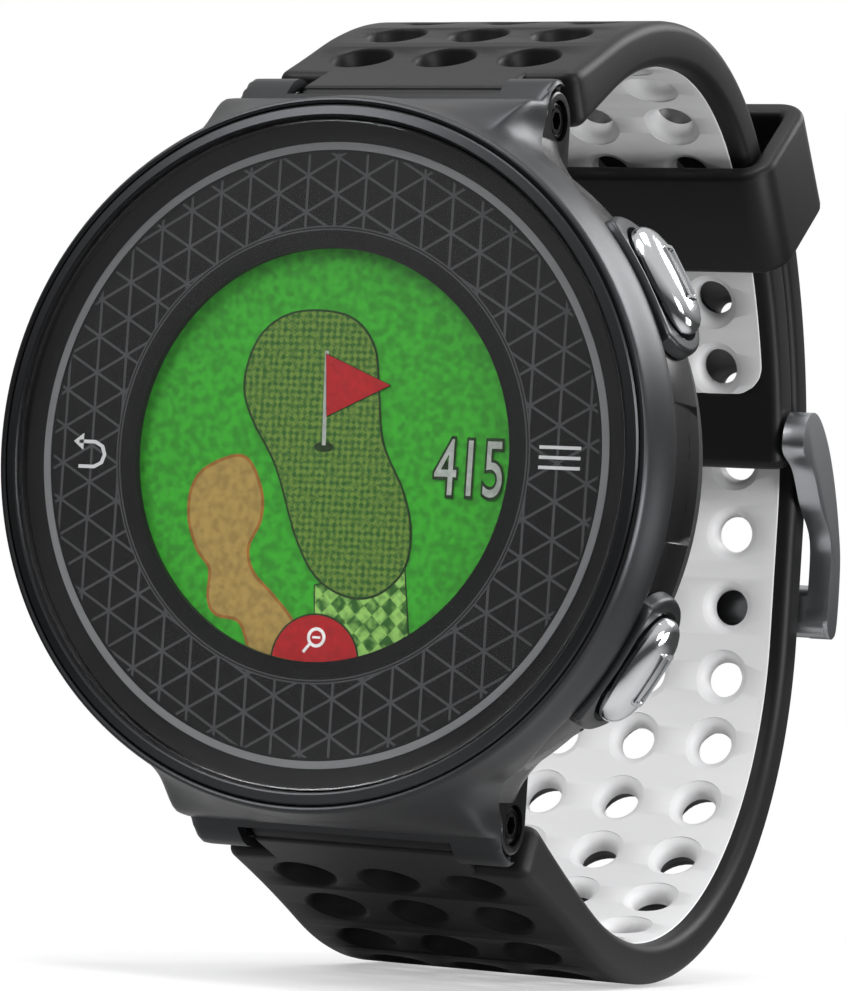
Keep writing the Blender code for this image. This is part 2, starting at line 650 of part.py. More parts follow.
def make_case(paint):
    """The black case with its four lugs, and the painted shell over it."""
    front = -CASE_DEPTH
    shoulder_y = front + SHELL_HEIGHT + GAP
    lip = 0.3 * MM
    seat = DISPLAY_FRONT
    body = turned("case_body", [
        (GLASS_POCKET, front), (RIM_RADIUS - lip, front), (RIM_RADIUS, front + lip),
        (RIM_RADIUS, shoulder_y - 0.5 * MM), (BODY_RADIUS, shoulder_y),
        (BODY_RADIUS, -BODY_SHOULDER), (BODY_RADIUS - 1.0 * MM, -BODY_BACK),
        (BORE_RADIUS, -BODY_BACK), (BORE_RADIUS, seat), (GLASS_POCKET, seat),
    ], paint["polymer_black"], CASE_ROUND)
    root = PIN_Z - LUG_ROOT_DEPTH
    cut(body, body_flats("body_flats_tool", BODY_FLAT, shoulder_y - 0.4 * MM))
    for side, word in ((1, "upper"), (-1, "lower")):
        for hand, way in ((1, "right"), (-1, "left")):
            low, high = sorted((hand * (LUG_INNER_X + FIT), hand * LUG_OUTER_X))
            outline = lug_outline(side, LUG_RADIUS, root, shoulder_y + 1.2 * MM)
            join(body, prism(f"{word}_{way}_lug_tool", outline, low, high))
    bay = strap_bay("body_bay_tool", PLAY)
    cover_room = disc("cover_room_tool", COVER_RADIUS + GAP, -BODY_BACK + FIT, CASE_DEPTH, None)
    cut(body, bay, cover_room, *lug_holes("lug"))
    notch_half = 4.1 * MM
    notch = prism("clip_notch_tool", box_outline(-BODY_SHOULDER - 1.9 * MM, -BODY_SHOULDER, -notch_half, notch_half),
                  BODY_RADIUS - 0.7 * MM, BODY_RADIUS + OVER)
    screws = bmesh.new()
    for turn in range(4):
        at = polar(COVER_SCREW_CIRCLE, 45 + 90 * turn)
        add_prism(screws, circle(COVER_SCREW_RADIUS + FIT, *at, 8), -BODY_BACK - COVER_SCREW_LENGTH, 0, "Y")
    cut(body, notch, finished("body_screw_holes_tool", screws, None))

    shell = turned("top_shell", [
        (RIM_RADIUS + SHELL_GAP, front + 0.2 * MM), (RIM_RADIUS + 0.45 * MM, front + 0.4 * MM),
        (RIM_RADIUS + SHELL_WALL, front + 2.0 * MM), (RIM_RADIUS + 1.2 * SHELL_WALL, front + 3.2 * MM),
        (RIM_RADIUS + SHELL_WALL, SHELL_BACK), (RIM_RADIUS + SHELL_GAP, SHELL_BACK),
    ], paint["gunmetal"], CASE_ROUND)
    for side, word in ((1, "upper"), (-1, "lower")):
        join(shell, lug_cover(word, side))
    body_room = turned("shell_room_tool", [
        (0, front - OVER), (RIM_RADIUS + SHELL_GAP, front - OVER),
        (RIM_RADIUS + SHELL_GAP, shoulder_y - 0.5 * MM - FIT), (BODY_RADIUS + SHELL_GAP, shoulder_y - FIT),
        (BODY_RADIUS + SHELL_GAP, CASE_DEPTH), (0, CASE_DEPTH),
    ], None, CASE_ROUND)
    cut(body_room, body_flats("room_flats_tool", BODY_FLAT + SHELL_GAP, shoulder_y - 0.4 * MM))
    bay = strap_bay("shell_bay_tool", PLAY + FIT / 2)
    rooms = bmesh.new()
    for side in (1, -1):
        for hand in (1, -1):
            low, high = sorted((hand * (LUG_INNER_X - OVER), hand * (LUG_OUTER_X + 2 * OVER)))
            outline = lug_outline(side, LUG_RADIUS + SHELL_GAP, root, shoulder_y + 1.2 * MM - GAP)
            add_prism(rooms, outline, low, high)
    cut(shell, body_room, bay, finished("shell_lug_room_tool", rooms, None))
    return body, shell


def body_flats(name, height, front):
    """Boxes that flatten the case under the two lug covers."""
    bm = bmesh.new()
    for side in (1, -1):
        low, high = sorted((side * height, side * 2 * BODY_RADIUS))
        add_prism(bm, box_outline(front, CASE_DEPTH, low, high), -BODY_RADIUS, BODY_RADIUS)
    return finished(name, bm, None)


def lug_cover(word, side):
    """The flared part of the shell that runs from the ring out over two lugs."""
    top = PIN_Z + LUG_RADIUS + SHELL_GAP + LUG_SKIN
    front = -CASE_DEPTH + 1.2 * MM
    edge = LUG_OUTER_X + 0.2 * MM
    flank = [(edge, top), (edge, PIN_Z - 0.5 * MM)]
    ring_x, ring_z = polar(RIM_RADIUS + 0.82 * SHELL_WALL, FLARE_ANGLE)
    for i in range(1, 6):
        share = i / 5
        # The flank leaves the lug upright and meets the ring along its slope.
        flank.append((edge + (ring_x - edge) * share**2, PIN_Z - 0.5 * MM + (ring_z - PIN_Z + 0.5 * MM) * share))
    plan = [(x, side * z) for x, z in flank] + [(-x, side * z) for x, z in flank[::-1]]
    cover = prism(f"{word}_lug_cover_tool", plan, front, PIN_Y + LUG_RADIUS, axis="Y")
    profile = [
        (front - OVER, side * 10 * MM), (front - OVER, side * (RIM_RADIUS + 0.35 * MM)),
        (front, side * (RIM_RADIUS + 0.5 * MM)), (PIN_Y - 5.8 * MM, side * (PIN_Z + 0.25 * MM)),
    ]
    reach = LUG_RADIUS + SHELL_GAP + LUG_SKIN
    for degrees in (160, 140, 120, 100, 80):
        a, b = polar(reach, degrees)
        profile.append((PIN_Y + a, side * (PIN_Z + b)))
    profile += [
        (PIN_Y + 0.5 * MM, side * PIN_Z), (PIN_Y - 2.0 * MM, side * (PIN_Z - 3 * MM)),
        (SHELL_BACK, side * (PIN_Z - 5 * MM)), (SHELL_BACK, side * 10 * MM),
    ]
    combine(cover, prism(f"{word}_lug_side_tool", profile, -20 * MM, 20 * MM), "INTERSECT")
    return cover


def polar(radius, degrees):
    turn = math.radians(degrees)
    return radius * math.cos(turn), radius * math.sin(turn)


def make_front(paint):
    """Glass, touch film, printed dial ring, accent ring and display."""
    inner, outer = ACCENT_RADIUS - ACCENT_WIDTH / 2, ACCENT_RADIUS + ACCENT_WIDTH / 2
    groove = DIAL_FRONT + DIAL_THICKNESS / 2
    dial_radius = GLASS_RADIUS - FIT
    bevel = 0.25 * MM
    disc("glass_lens", GLASS_RADIUS, GLASS_FRONT, GLASS_BACK, paint["glass"], bevel)
    disc("touch_film", dial_radius, FILM_FRONT, FILM_FRONT + FILM, paint["film"])
    turned("dial_ring", [
        (DIAL_HOLE_RADIUS, DIAL_FRONT), (inner - FIT, DIAL_FRONT), (inner - FIT, groove),
        (outer + FIT, groove), (outer + FIT, DIAL_FRONT), (dial_radius, DIAL_FRONT),
        (dial_radius, DIAL_BACK), (DIAL_HOLE_RADIUS, DIAL_BACK),
    ], paint["dial"])
    ring("accent_ring", inner, outer, DIAL_FRONT, groove - FIT, paint["silver"])
    disc("display_panel", DISPLAY_RADIUS, DISPLAY_FRONT, DISPLAY_BACK, paint["display"])
    turned("display_frame", [
        (0, DISPLAY_BACK + FIT), (DISPLAY_RADIUS + FIT, DISPLAY_BACK + FIT),
        (DISPLAY_RADIUS + FIT, DISPLAY_FRONT), (DISPLAY_RADIUS + FRAME_WALL, DISPLAY_FRONT),
        (DISPLAY_RADIUS + FRAME_WALL, FRAME_BACK), (0, FRAME_BACK),
    ], paint["polymer_black"])


def disc(name, radius, front, back, mat, bevel=0.0):
    """A round plate across the Y axis."""
    profile = [(0, front), (radius - bevel, front), (radius, front + bevel), (radius, back), (0, back)]
    if not bevel:
        profile.pop(2)
    return turned(name, profile, mat)


def ring(name, inner, outer, front, back, mat, steps=ROUND):
    """A flat ring across the Y axis."""
    return turned(name, [(inner, front), (outer, front), (outer, back), (inner, back)], mat, steps)


def plate(name, x, z, width, height, front, back, mat):
    """A box that lies flat behind the display."""
    outline = box_outline(x - width / 2, x + width / 2, z - height / 2, z + height / 2)
    return prism(name, outline, front, back, mat, "Y")


def make_electronics(paint):
    """Board, battery, antenna, sounders and the display's flexible cable."""
    board = disc("main_board", BOARD_RADIUS, BOARD_FRONT, BOARD_BACK, paint["board"])
    slot = 1.4 * MM
    flex_half = 3.0 * MM
    cable_z = -BOARD_RADIUS + slot
    cut(board, plate("flex_slot_tool", 0, -BOARD_RADIUS, 2 * flex_half + 2 * GAP, 2 * slot + 2 * GAP,
                     BOARD_FRONT - OVER, BOARD_BACK + OVER, None))
    back = BOARD_BACK + GAP
    thin = 0.2 * MM
    fold_low = cable_z - thin
    prism("display_flex", [
        (FRAME_BACK + FIT, -DISPLAY_RADIUS + 2 * MM), (FRAME_BACK + FIT, fold_low),
        (back + thin, fold_low), (back + thin, cable_z + 2.4 * MM), (back, cable_z + 2.4 * MM),
        (back, cable_z), (FRAME_BACK + FIT + thin, cable_z), (FRAME_BACK + FIT + thin, -DISPLAY_RADIUS + 2 * MM),
    ], -flex_half, flex_half, paint["flex"])
    plate("battery", 0, -BATTERY_DROP, BATTERY_WIDTH, BATTERY_HEIGHT, back, back + BATTERY_THICKNESS,
          paint["foil"])
    antenna_z = BATTERY_HEIGHT / 2 - BATTERY_DROP + GAP + ANTENNA_SIDE / 2 + 1.5 * MM
    plate("gps_antenna", 0, antenna_z, ANTENNA_SIDE, ANTENNA_SIDE, back, back + ANTENNA_THICKNESS,
          paint["ceramic"])
    for name, hand in (("beeper", -1), ("vibration_motor", 1)):
        outline = circle(SOUNDER_RADIUS, hand * SOUNDER_SPREAD, SOUNDER_RISE, 16)
        prism(name, outline, back, back + SOUNDER_THICKNESS, paint["tin"], "Y")


def make_back(paint):
    """Back cover with gasket, four screws and four charging contacts."""
    spigot = BORE_RADIUS - GAP
    pad_edge = 0.4 * MM
    groove = 0.5 * MM
    cover = turned("back_cover", [
        (0, COVER_FRONT), (spigot - 1.2 * MM, COVER_FRONT), (spigot - 1.2 * MM, COVER_FRONT - COVER_SPIGOT),
        (spigot - groove, COVER_FRONT - COVER_SPIGOT), (spigot - groove, COVER_FRONT - GAP),
        (spigot, COVER_FRONT - GAP), (spigot, COVER_FRONT), (COVER_RADIUS - 0.3 * MM, COVER_FRONT),
        (COVER_RADIUS, COVER_FRONT + 0.3 * MM), (COVER_RADIUS - 0.15 * MM, COVER_BACK),
        (COVER_PAD_RADIUS + pad_edge, COVER_BACK), (COVER_PAD_RADIUS, 0), (0, 0),
    ], paint["polymer_black"])
    bay = strap_bay("cover_bay_tool", PLAY)
    head = 0.5 * MM
    socket = 0.35 * MM
    for turn in range(4):
        at = polar(COVER_SCREW_CIRCLE, 45 + 90 * turn)
        cut(cover, turned(f"cover_seat_{turn + 1}_tool", [
            (0, COVER_FRONT - OVER), (COVER_SCREW_RADIUS + FIT, COVER_FRONT - OVER),
            (COVER_SCREW_RADIUS + FIT, COVER_BACK - head - FIT), (COVER_SCREW_HEAD + FIT, COVER_BACK - head - FIT),
            (COVER_SCREW_HEAD + FIT, COVER_BACK + OVER), (0, COVER_BACK + OVER),
        ], None, SMALL_ROUND, at))
        turned(f"back_screw_{turn + 1}", [
            (0, COVER_BACK - COVER_SCREW_LENGTH), (COVER_SCREW_RADIUS, COVER_BACK - COVER_SCREW_LENGTH),
            (COVER_SCREW_RADIUS, COVER_BACK - head), (COVER_SCREW_HEAD, COVER_BACK - head),
            (COVER_SCREW_HEAD, COVER_BACK), (socket, COVER_BACK), (socket, COVER_BACK - socket),
            (0, COVER_BACK - socket),
        ], paint["steel"], SMALL_ROUND, at)
    contacts = bmesh.new()
    for i in range(4):
        z = (i - 1.5) * CONTACT_PITCH
        add_prism(contacts, circle(CONTACT_RADIUS + FIT, CONTACT_OUT, z, 12), COVER_FRONT - OVER, OVER, "Y")
    cut(cover, bay, finished("contact_holes_tool", contacts, None))
    ring("back_gasket", spigot - groove + FIT, BORE_RADIUS - FIT, COVER_FRONT - COVER_SPIGOT + FIT,
         COVER_FRONT - GAP - FIT, paint["seal"])
    for i in range(4):
        z = (i - 1.5) * CONTACT_PITCH
        prism(f"charge_contact_{i + 1}", circle(CONTACT_RADIUS, CONTACT_OUT, z, 12), COVER_FRONT - GAP, -FIT,
              paint["gold"], "Y")


def make_lug_hardware(paint):
    """A tube through each strap end, held by a screw from either side."""
    for side, word in ((1, "upper"), (-1, "lower")):
        z = side * PIN_Z
        pin = rod_along_x(f"{word}_strap_pin", PIN_RADIUS, -PIN_LENGTH / 2, PIN_LENGTH / 2, PIN_Y, z, paint["steel"])
        cut(pin, rod_along_x(f"{word}_pin_bore_tool", LUG_SCREW_SHANK + FIT, -PIN_LENGTH, PIN_LENGTH, PIN_Y, z))
        for hand, way in ((1, "right"), (-1, "left")):
            seat = PIN_LENGTH / 2 + 4 * FIT
            face = LUG_OUTER_X - 0.2 * MM
            name = f"{word}_{way}_lug_screw"
            low, high = sorted((hand * seat, hand * face))
            screw = rod_along_x(name, LUG_SCREW_HEAD, low, high, PIN_Y, z, paint["black_screw"])
            low, high = sorted((hand * (seat - LUG_SCREW_LENGTH), hand * (seat + 0.3 * MM)))
            join(screw, rod_along_x(f"{name}_shank_tool", LUG_SCREW_SHANK, low, high, PIN_Y, z))
            low, high = sorted((hand * (face - 0.7 * MM), hand * (face + OVER)))
            cut(screw, rod_along_x(f"{name}_socket_tool", 0.65 * MM, low, high, PIN_Y, z, steps=6))


def make_button(where, degrees, body, shell, paint):
    """A domed cap on a sealed shaft, with its spring, clip and switch. Drawn along +Y, then turned."""
    slot = stadium(BUTTON_LENGTH + 2 * GAP, BUTTON_WIDTH + 2 * GAP)
    cap_outline = stadium(BUTTON_LENGTH, BUTTON_WIDTH)
    cap_base = BODY_RADIUS + 0.2 * MM
    cap_top = cap_base + BUTTON_PROUD
    floor = BODY_RADIUS - 1.0 * MM
    shaft_end = BORE_RADIUS - 2.4 * MM
    ring_out = BUTTON_SHAFT_RADIUS + 0.5 * MM
    ring_low, ring_high = floor - 1.1 * MM, floor - 0.5 * MM

    cap = bmesh.new()
    edge = cap_top - 0.9 * MM
    add_prism(cap, cap_outline, cap_base, edge, "Y")
    for inset, rise in ((0.35, 0.4), (0.55, 0.32), (0.5, 0.14)):
        bmesh.ops.recalc_face_normals(cap, faces=cap.faces)
        top = max(cap.faces, key=lambda face: face.calc_center_median().y)
        bmesh.ops.inset_region(cap, faces=[top], thickness=inset * MM, depth=0.0)
        bmesh.ops.translate(cap, verts=top.verts, vec=(0, rise * MM, 0))
    cap = finished(f"{where}_button", cap, paint["chrome"])
    shaft = turned_on_own_axis(f"{where}_shaft_tool", [
        (0, cap_base + 0.3 * MM), (BUTTON_SHAFT_RADIUS, cap_base + 0.3 * MM),
        (BUTTON_SHAFT_RADIUS, BORE_RADIUS - 0.2 * MM), (0.5 * MM, BORE_RADIUS - 0.2 * MM),
        (0.5 * MM, BORE_RADIUS - 0.7 * MM), (BUTTON_SHAFT_RADIUS, BORE_RADIUS - 0.7 * MM),
        (BUTTON_SHAFT_RADIUS, shaft_end), (0, shaft_end),
    ], None)
    seal = turned_on_own_axis(f"{where}_button_seal", [
        (BUTTON_SHAFT_RADIUS + FIT, ring_low), (ring_out, ring_low), (ring_out, ring_high),
        (BUTTON_SHAFT_RADIUS + FIT, ring_high),
    ], paint["seal"])
    clip = turned_on_own_axis(f"{where}_button_clip", [
        (0.6 * MM, BORE_RADIUS - 0.6 * MM), (1.5 * MM, BORE_RADIUS - 0.6 * MM),
        (1.5 * MM, BORE_RADIUS - 0.3 * MM), (0.6 * MM, BORE_RADIUS - 0.3 * MM),
    ], paint["steel"])
    clip_gap = prism(f"{where}_clip_gap_tool", box_outline(0, 2 * MM, -0.4 * MM, 0.4 * MM), 0, BODY_RADIUS, axis="Y")
    spring = coil(f"{where}_button_spring", 1.5 * MM, floor + FIT, cap_base - FIT, paint["steel"])
    switch_top = shaft_end - BUTTON_TRAVEL - FIT
    switch = prism(f"{where}_button_switch", box_outline(-1.3 * MM, 1.3 * MM, -1.3 * MM, 1.3 * MM),
                   switch_top - 1.4 * MM, switch_top, paint["switch"], "Y")
    pocket = prism(f"{where}_pocket_tool", slot, floor, 2 * BODY_RADIUS, axis="Y")
    bore = turned_on_own_axis(f"{where}_bore_tool", [
        (0, 2 * BODY_RADIUS), (ring_out + FIT, 2 * BODY_RADIUS), (ring_out + FIT, ring_low - BUTTON_TRAVEL - FIT),
        (BUTTON_SHAFT_RADIUS + FIT, ring_low - BUTTON_TRAVEL - FIT), (BUTTON_SHAFT_RADIUS + FIT, BORE_RADIUS - OVER),
        (0, BORE_RADIUS - OVER),
    ], None)
    guard_low = BODY_RADIUS + SHELL_GAP
    half_guard = BUTTON_WIDTH / 2 + GUARD_MARGIN
    guard_top = SHELL_BACK - BUTTON_Y - 0.6 * MM
    chamfer = 2.6 * MM
    guard_reach = BUTTON_LENGTH / 2 + GUARD_MARGIN
    guard = prism(f"{where}_guard_tool", [
        (-half_guard, -guard_reach + chamfer), (-half_guard + chamfer, -guard_reach), (-guard_top, -guard_reach),
        (-guard_top, guard_reach), (-half_guard + chamfer, guard_reach), (-half_guard, guard_reach - chamfer),
    ], guard_low, guard_low + GUARD_THICKNESS, axis="Y")
    guard_hole = prism(f"{where}_guard_hole_tool", slot, guard_low - OVER, 2 * BODY_RADIUS, axis="Y")
    # The outlines' first direction becomes the case's depth, and +Y the way out of the case.
    place = Matrix.Rotation(-math.radians(degrees), 4, "Y") @ Matrix(
        ((0, 1, 0, 0), (-1, 0, 0, 0), (0, 0, 1, 0), (0, 0, 0, 1)))
    place = Matrix.Translation((0, BUTTON_Y, 0)) @ place
    for obj in (cap, shaft, seal, clip, clip_gap, spring, switch, pocket, bore, guard, guard_hole):
        obj.data.transform(place)
    join(cap, shaft)
    cut(clip, clip_gap)
    cut(body, pocket, bore)
    join(shell, guard)
    cut(shell, guard_hole)


def turned_on_own_axis(name, profile, mat):
    """A small turned piece."""
    return turned(name, profile, mat, SMALL_ROUND)


def coil(name, radius, low, high, mat):
    """A compression spring about the Y axis."""
    sides, steps = 5, 10
    count = SPRING_TURNS * steps
    bm = bmesh.new()
    rings = []
    for i in range(count + 1):
        turn = math.tau * i / steps
        y = low + SPRING_WIRE + (high - low - 2 * SPRING_WIRE) * i / count
        centre = Vector((radius * math.cos(turn), y, radius * math.sin(turn)))
        out = Vector((math.cos(turn), 0, math.sin(turn)))
        loop = []
        for j in range(sides):
            around = math.tau * j / sides
            offset = out * math.cos(around) + Vector((0, 1, 0)) * math.sin(around)
            loop.append(bm.verts.new(centre + offset * SPRING_WIRE))
        rings.append(loop)
    for before, after in zip(rings, rings[1:]):
        for j in range(sides):
            k = (j + 1) % sides
            bm.faces.new((before[j], before[k], after[k], after[j]))
    bm.faces.new(rings[0][::-1])
    bm.faces.new(rings[-1])
    return finished(name, bm, mat)


def main():
    clear_scene()
    paint = {
        "gunmetal": material("painted_gunmetal", (0.06, 0.063, 0.066), 0.38, 0.75),
        "polymer_black": material("black_polymer", (0.012, 0.012, 0.013), 0.3),
        "glass": material("cover_glass", (0.8, 0.82, 0.84), 0.05, 0.0, 0.2),
        "film": material("touch_film", (0.8, 0.82, 0.84), 0.2, 0.0, 0.1),
        "dial": material("printed_dial", (0.012, 0.012, 0.013), 0.4),
        "silver": material("silver_print", (0.5, 0.5, 0.5), 0.35, 0.8),
        "display": material("display_glass", (0.12, 0.45, 0.07), 0.3),
        "board": material("circuit_board", (0.02, 0.12, 0.05), 0.5),
        "flex": material("flex_cable", (0.5, 0.25, 0.05), 0.5),
        "foil": material("battery_foil", (0.5, 0.5, 0.52), 0.4, 0.7),
        "ceramic": material("antenna_ceramic", (0.7, 0.66, 0.55), 0.6),
        "tin": material("tin_plate", (0.6, 0.6, 0.6), 0.35, 1.0),
        "seal": material("seal_rubber", (0.02, 0.02, 0.02), 0.7),
        "steel": material("satin_steel", (0.5, 0.5, 0.5), 0.35, 1.0),
        "chrome": material("polished_steel", (0.7, 0.7, 0.7), 0.12, 1.0),
        "black_screw": material("black_screw", (0.02, 0.02, 0.02), 0.3, 0.8),
        "gold": material("gold_plate", (0.8, 0.55, 0.2), 0.3, 1.0),
        "switch": material("switch_body", (0.05, 0.05, 0.05), 0.5),
        "silicone_black": material("black_silicone", (0.018, 0.018, 0.019), 0.55),
        "silicone_white": material("white_silicone", (0.78, 0.78, 0.78), 0.55),
    }
    body, shell = make_case(paint)
    make_front(paint)
    make_electronics(paint)
    make_back(paint)
    make_lug_hardware(paint)
    make_straps(paint)
    make_keeper(paint)
    make_buckle(paint)
    for where, degrees in BUTTON_ANGLES.items():
        make_button(where, degrees, body, shell, paint)


main()
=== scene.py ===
"""The look of a golf GPS watch on its closed strap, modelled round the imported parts.

Everything is in metres in the parts' own frame: the dial faces -Y, twelve o'clock is +Z,
three o'clock is +X, and the origin is the centre of the back cover's flat face.
"""

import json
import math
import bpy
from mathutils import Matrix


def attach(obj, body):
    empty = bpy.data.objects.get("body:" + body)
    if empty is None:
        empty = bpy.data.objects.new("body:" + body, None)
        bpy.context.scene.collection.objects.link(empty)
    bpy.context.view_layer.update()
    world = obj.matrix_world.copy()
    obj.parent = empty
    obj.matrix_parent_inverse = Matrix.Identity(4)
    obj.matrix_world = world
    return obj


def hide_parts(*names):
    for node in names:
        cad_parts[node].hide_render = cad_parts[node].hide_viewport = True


bl_info = {
    "name": "Golf Watch",
    "version": (1, 0, 0),
    "blender": (4, 5, 0),
    "location": "3D View > Sidebar > Golf Watch",
    "description": "Models and paints a golf GPS watch with its strap, buckle and stage",
    "category": "Add Mesh",
}

import bpy
from bpy.props import FloatProperty, FloatVectorProperty, PointerProperty, StringProperty
from mathutils import Matrix, Vector

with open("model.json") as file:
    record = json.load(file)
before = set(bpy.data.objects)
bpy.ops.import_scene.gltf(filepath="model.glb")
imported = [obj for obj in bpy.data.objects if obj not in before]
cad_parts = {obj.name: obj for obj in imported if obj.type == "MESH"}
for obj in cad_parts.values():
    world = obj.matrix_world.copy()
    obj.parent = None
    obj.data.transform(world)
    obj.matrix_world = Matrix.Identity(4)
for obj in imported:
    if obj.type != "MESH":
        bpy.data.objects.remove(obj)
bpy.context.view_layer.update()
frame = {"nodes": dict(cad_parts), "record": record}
MM = 0.001


def linear(code):
    """An sRGB hex value as linear red, green and blue."""
    parts = [int(code[i:i + 2], 16) / 255 for i in (0, 2, 4)]
    return tuple(c / 12.92 if c <= 0.04045 else ((c + 0.055) / 1.055) ** 2.4 for c in parts)


def length(name, description, millimetres):
    """A size that a user can change, in metres."""
    return FloatProperty(name=name, description=description, default=millimetres * MM,
                         unit="LENGTH", precision=5)


def colour(name, description, code):
    """A colour that a user can change."""
    return FloatVectorProperty(name=name, description=description, subtype="COLOR",
                               default=linear(code), min=0, max=1)


def turn(name, description, degrees):
    """An angle that a user can change."""
    return FloatProperty(name=name, description=description, default=math.radians(degrees),
                         unit="ROTATION")


class CaseSettings(bpy.types.PropertyGroup):
    rim_radius: length("Rim radius", "Outer radius of the ring round the glass", 21.52)
    rim_width: length("Rim width", "Width of the ring round the glass", 0.8)
    shell_radius: length("Shell radius", "Radius of the painted shell's edge", 22.5)
    lug_width: length("Lug half width", "Half the width across a pair of lugs", 10.75)
    body_radius: length("Body radius", "Radius of the black case behind the shell", 22.0)
    shell_paint: colour("Shell paint", "Dark metallic paint of the shell", "3A3B3D")
    rim_paint: colour("Rim paint", "Satin grey of the ring round the glass", "3A3B3D")
    body_black: colour("Case black", "Glossy black of the case", "0B0B0C")


class DialSettings(bpy.types.PropertyGroup):
    window_radius: length("Window", "Radius of the display's window", 12.7)
    circle_radius: length("Inner circle", "Radius of the thin double circle", 13.95)
    lattice_radius: length("Lattice edge", "Radius where the triangles end", 18.55)
    lattice_pitch: length("Lattice pitch", "Distance between lines of one direction", 1.98)
    line_width: length("Line width", "Width of a lattice line", 0.17)
    line_grey: colour("Line grey", "Grey of the printed lines", "4C4D4F")
    ground: colour("Ground", "Black of the dial", "161617")


class PictureSettings(bpy.types.PropertyGroup):
    rough_green: colour("Rough", "Green round the hole", "2F9A20")
    green: colour("Green", "Darker green of the putting green", "2C6A1E")
    sand: colour("Sand", "Tan of the bunker", "A38848")
    flag: colour("Flag", "Red of the flag and the zoom badge", "A90F17")
    outline: colour("Outline", "Dark line round the shapes", "15300F")
    distance: StringProperty(name="Distance", description="Number shown on the display",
                             default="415")
    glow: FloatProperty(name="Glow", description="How much light the display gives", default=0.1)


class StrapSettings(bpy.types.PropertyGroup):
    half_width: length("Half width", "Half the width of the strap", 10.6)
    upper_thickness: length("Upper thickness", "Thickness of the buckle half", 3.0)
    lower_thickness: length("Lower thickness", "Thickness of the long half", 2.7)
    lining_half_width: length("Lining half width", "Half the width of the white lining", 9.4)
    hole_radius: length("Hole radius", "Radius of a hole at its narrowest", 1.32)
    mouth_radius: length("Mouth radius", "Radius of a hole's outer mouth", 2.25)
    edge_round: length("Edge round", "Rounding of the strap's long edges", 0.75)
    black: colour("Black silicone", "Outer layer of the strap", "0D0D0E")
    white: colour("White silicone", "Lining of the strap", "DADADB")


class MetalSettings(bpy.types.PropertyGroup):
    steel: colour("Satin steel", "Buckle and fasteners", "B9BBBE")
    chrome: colour("Polished steel", "Button caps", "DADCDE")
    edge: length("Metal edge", "Rounding of metal edges", 0.35)


class StageSettings(bpy.types.PropertyGroup):
    azimuth: turn("Azimuth", "Camera's turn from the dial's front towards +X", 25.05)
    elevation: turn("Elevation", "Camera's height angle", -2.76)
    roll: turn("Roll", "Turn of the picture", 3.77)
    distance: length("Distance", "From the camera to its target", 295.9)
    lens: FloatProperty(name="Lens", description="Focal length in millimetres", default=164.85)
    floor: colour("Floor", "Pale floor", "F4F4F4")


class WatchSettings(bpy.types.PropertyGroup):
    case: PointerProperty(type=CaseSettings)
    dial: PointerProperty(type=DialSettings)
    picture: PointerProperty(type=PictureSettings)
    strap: PointerProperty(type=StrapSettings)
    metal: PointerProperty(type=MetalSettings)
    stage: PointerProperty(type=StageSettings)


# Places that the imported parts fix, in metres
PIN_Y, PIN_Z = -3.2 * MM, 22.0 * MM
WRIST_Y = 6.1 * MM
BAR_Y, BAR_Z = 40.66 * MM, 5.535 * MM
KEEPER_TURN = math.radians(38.5)
BUTTONS = {"upper_right": 31.0, "lower_right": -31.5, "upper_left": 149.0}
BUTTON_Y = -6.2 * MM
DISPLAY_Y = -11.35 * MM
WRIST_RADIUS = 35 * MM
OUTER_RADIUS = 38.25 * MM
OUTER_WRAP = 37
PATH_STEP = 0.7 * MM
BAR_BORE = 0.85
TONGUE_ROOM = 1.15 * MM
BUTTON_SLOT = (8.0 * MM, 5.0 * MM)
LUG_ROUND = 2.65 * MM
COLUMN_PITCH = 5.95 * MM
CONTACT_PITCH = 2.3 * MM
COVER_SCREW_RADIUS = 19.75 * MM
KEEPER_HALF_LENGTH = 4 * MM
TONGUE_HALF = 0.45 * MM
# Above or below, then right or left
LUGS = ((1, 1), (1, -1), (-1, 1), (-1, -1))


# ---------------------------------------------------------------- modelling

def mm(points):
    """Points given in millimetres, in metres."""
    return [tuple(value * MM for value in point) for point in points]


def span(hand, near, far):
    """Two distances in millimetres on one side, low first, in metres."""
    return sorted((hand * near * MM, hand * far * MM))


def deselect():
    if bpy.context.object and bpy.context.object.mode != "OBJECT":
        bpy.ops.object.mode_set(mode="OBJECT")
    bpy.ops.object.select_all(action="DESELECT")


def only(piece):
    """Select one object and make it active."""
    deselect()
    piece.select_set(True)
    bpy.context.view_layer.objects.active = piece


def edit(piece):
    """Enter edit mode with everything selected."""
    only(piece)
    bpy.ops.object.mode_set(mode="EDIT")
    bpy.ops.mesh.select_mode(type="VERT")
    bpy.ops.mesh.select_all(action="SELECT")


def tidy(piece):
    """Merge doubles and turn the faces outwards."""
    edit(piece)
    bpy.ops.mesh.remove_doubles(threshold=1e-7)
    bpy.ops.mesh.normals_make_consistent(inside=False)
    bpy.ops.object.mode_set(mode="OBJECT")


def apply_place(piece):
    only(piece)
    bpy.ops.object.transform_apply(location=True, rotation=True, scale=True)


def plate(name, outline, low, high, axis="X"):
    """A plate whose outline is drawn in YZ and runs along X, or in XZ and runs along Y."""
    deselect()
    bpy.ops.mesh.primitive_circle_add(vertices=len(outline), radius=1, fill_type="NGON")
    piece = bpy.context.object
    piece.name = name
    for vertex, (a, b) in zip(piece.data.vertices, outline):
        vertex.co = (low, a, b) if axis == "X" else (a, low, b)
    run = (high - low, 0, 0) if axis == "X" else (0, high - low, 0)
    edit(piece)
    bpy.ops.mesh.extrude_region_move(TRANSFORM_OT_translate={"value": run})
    tidy(piece)
    return piece


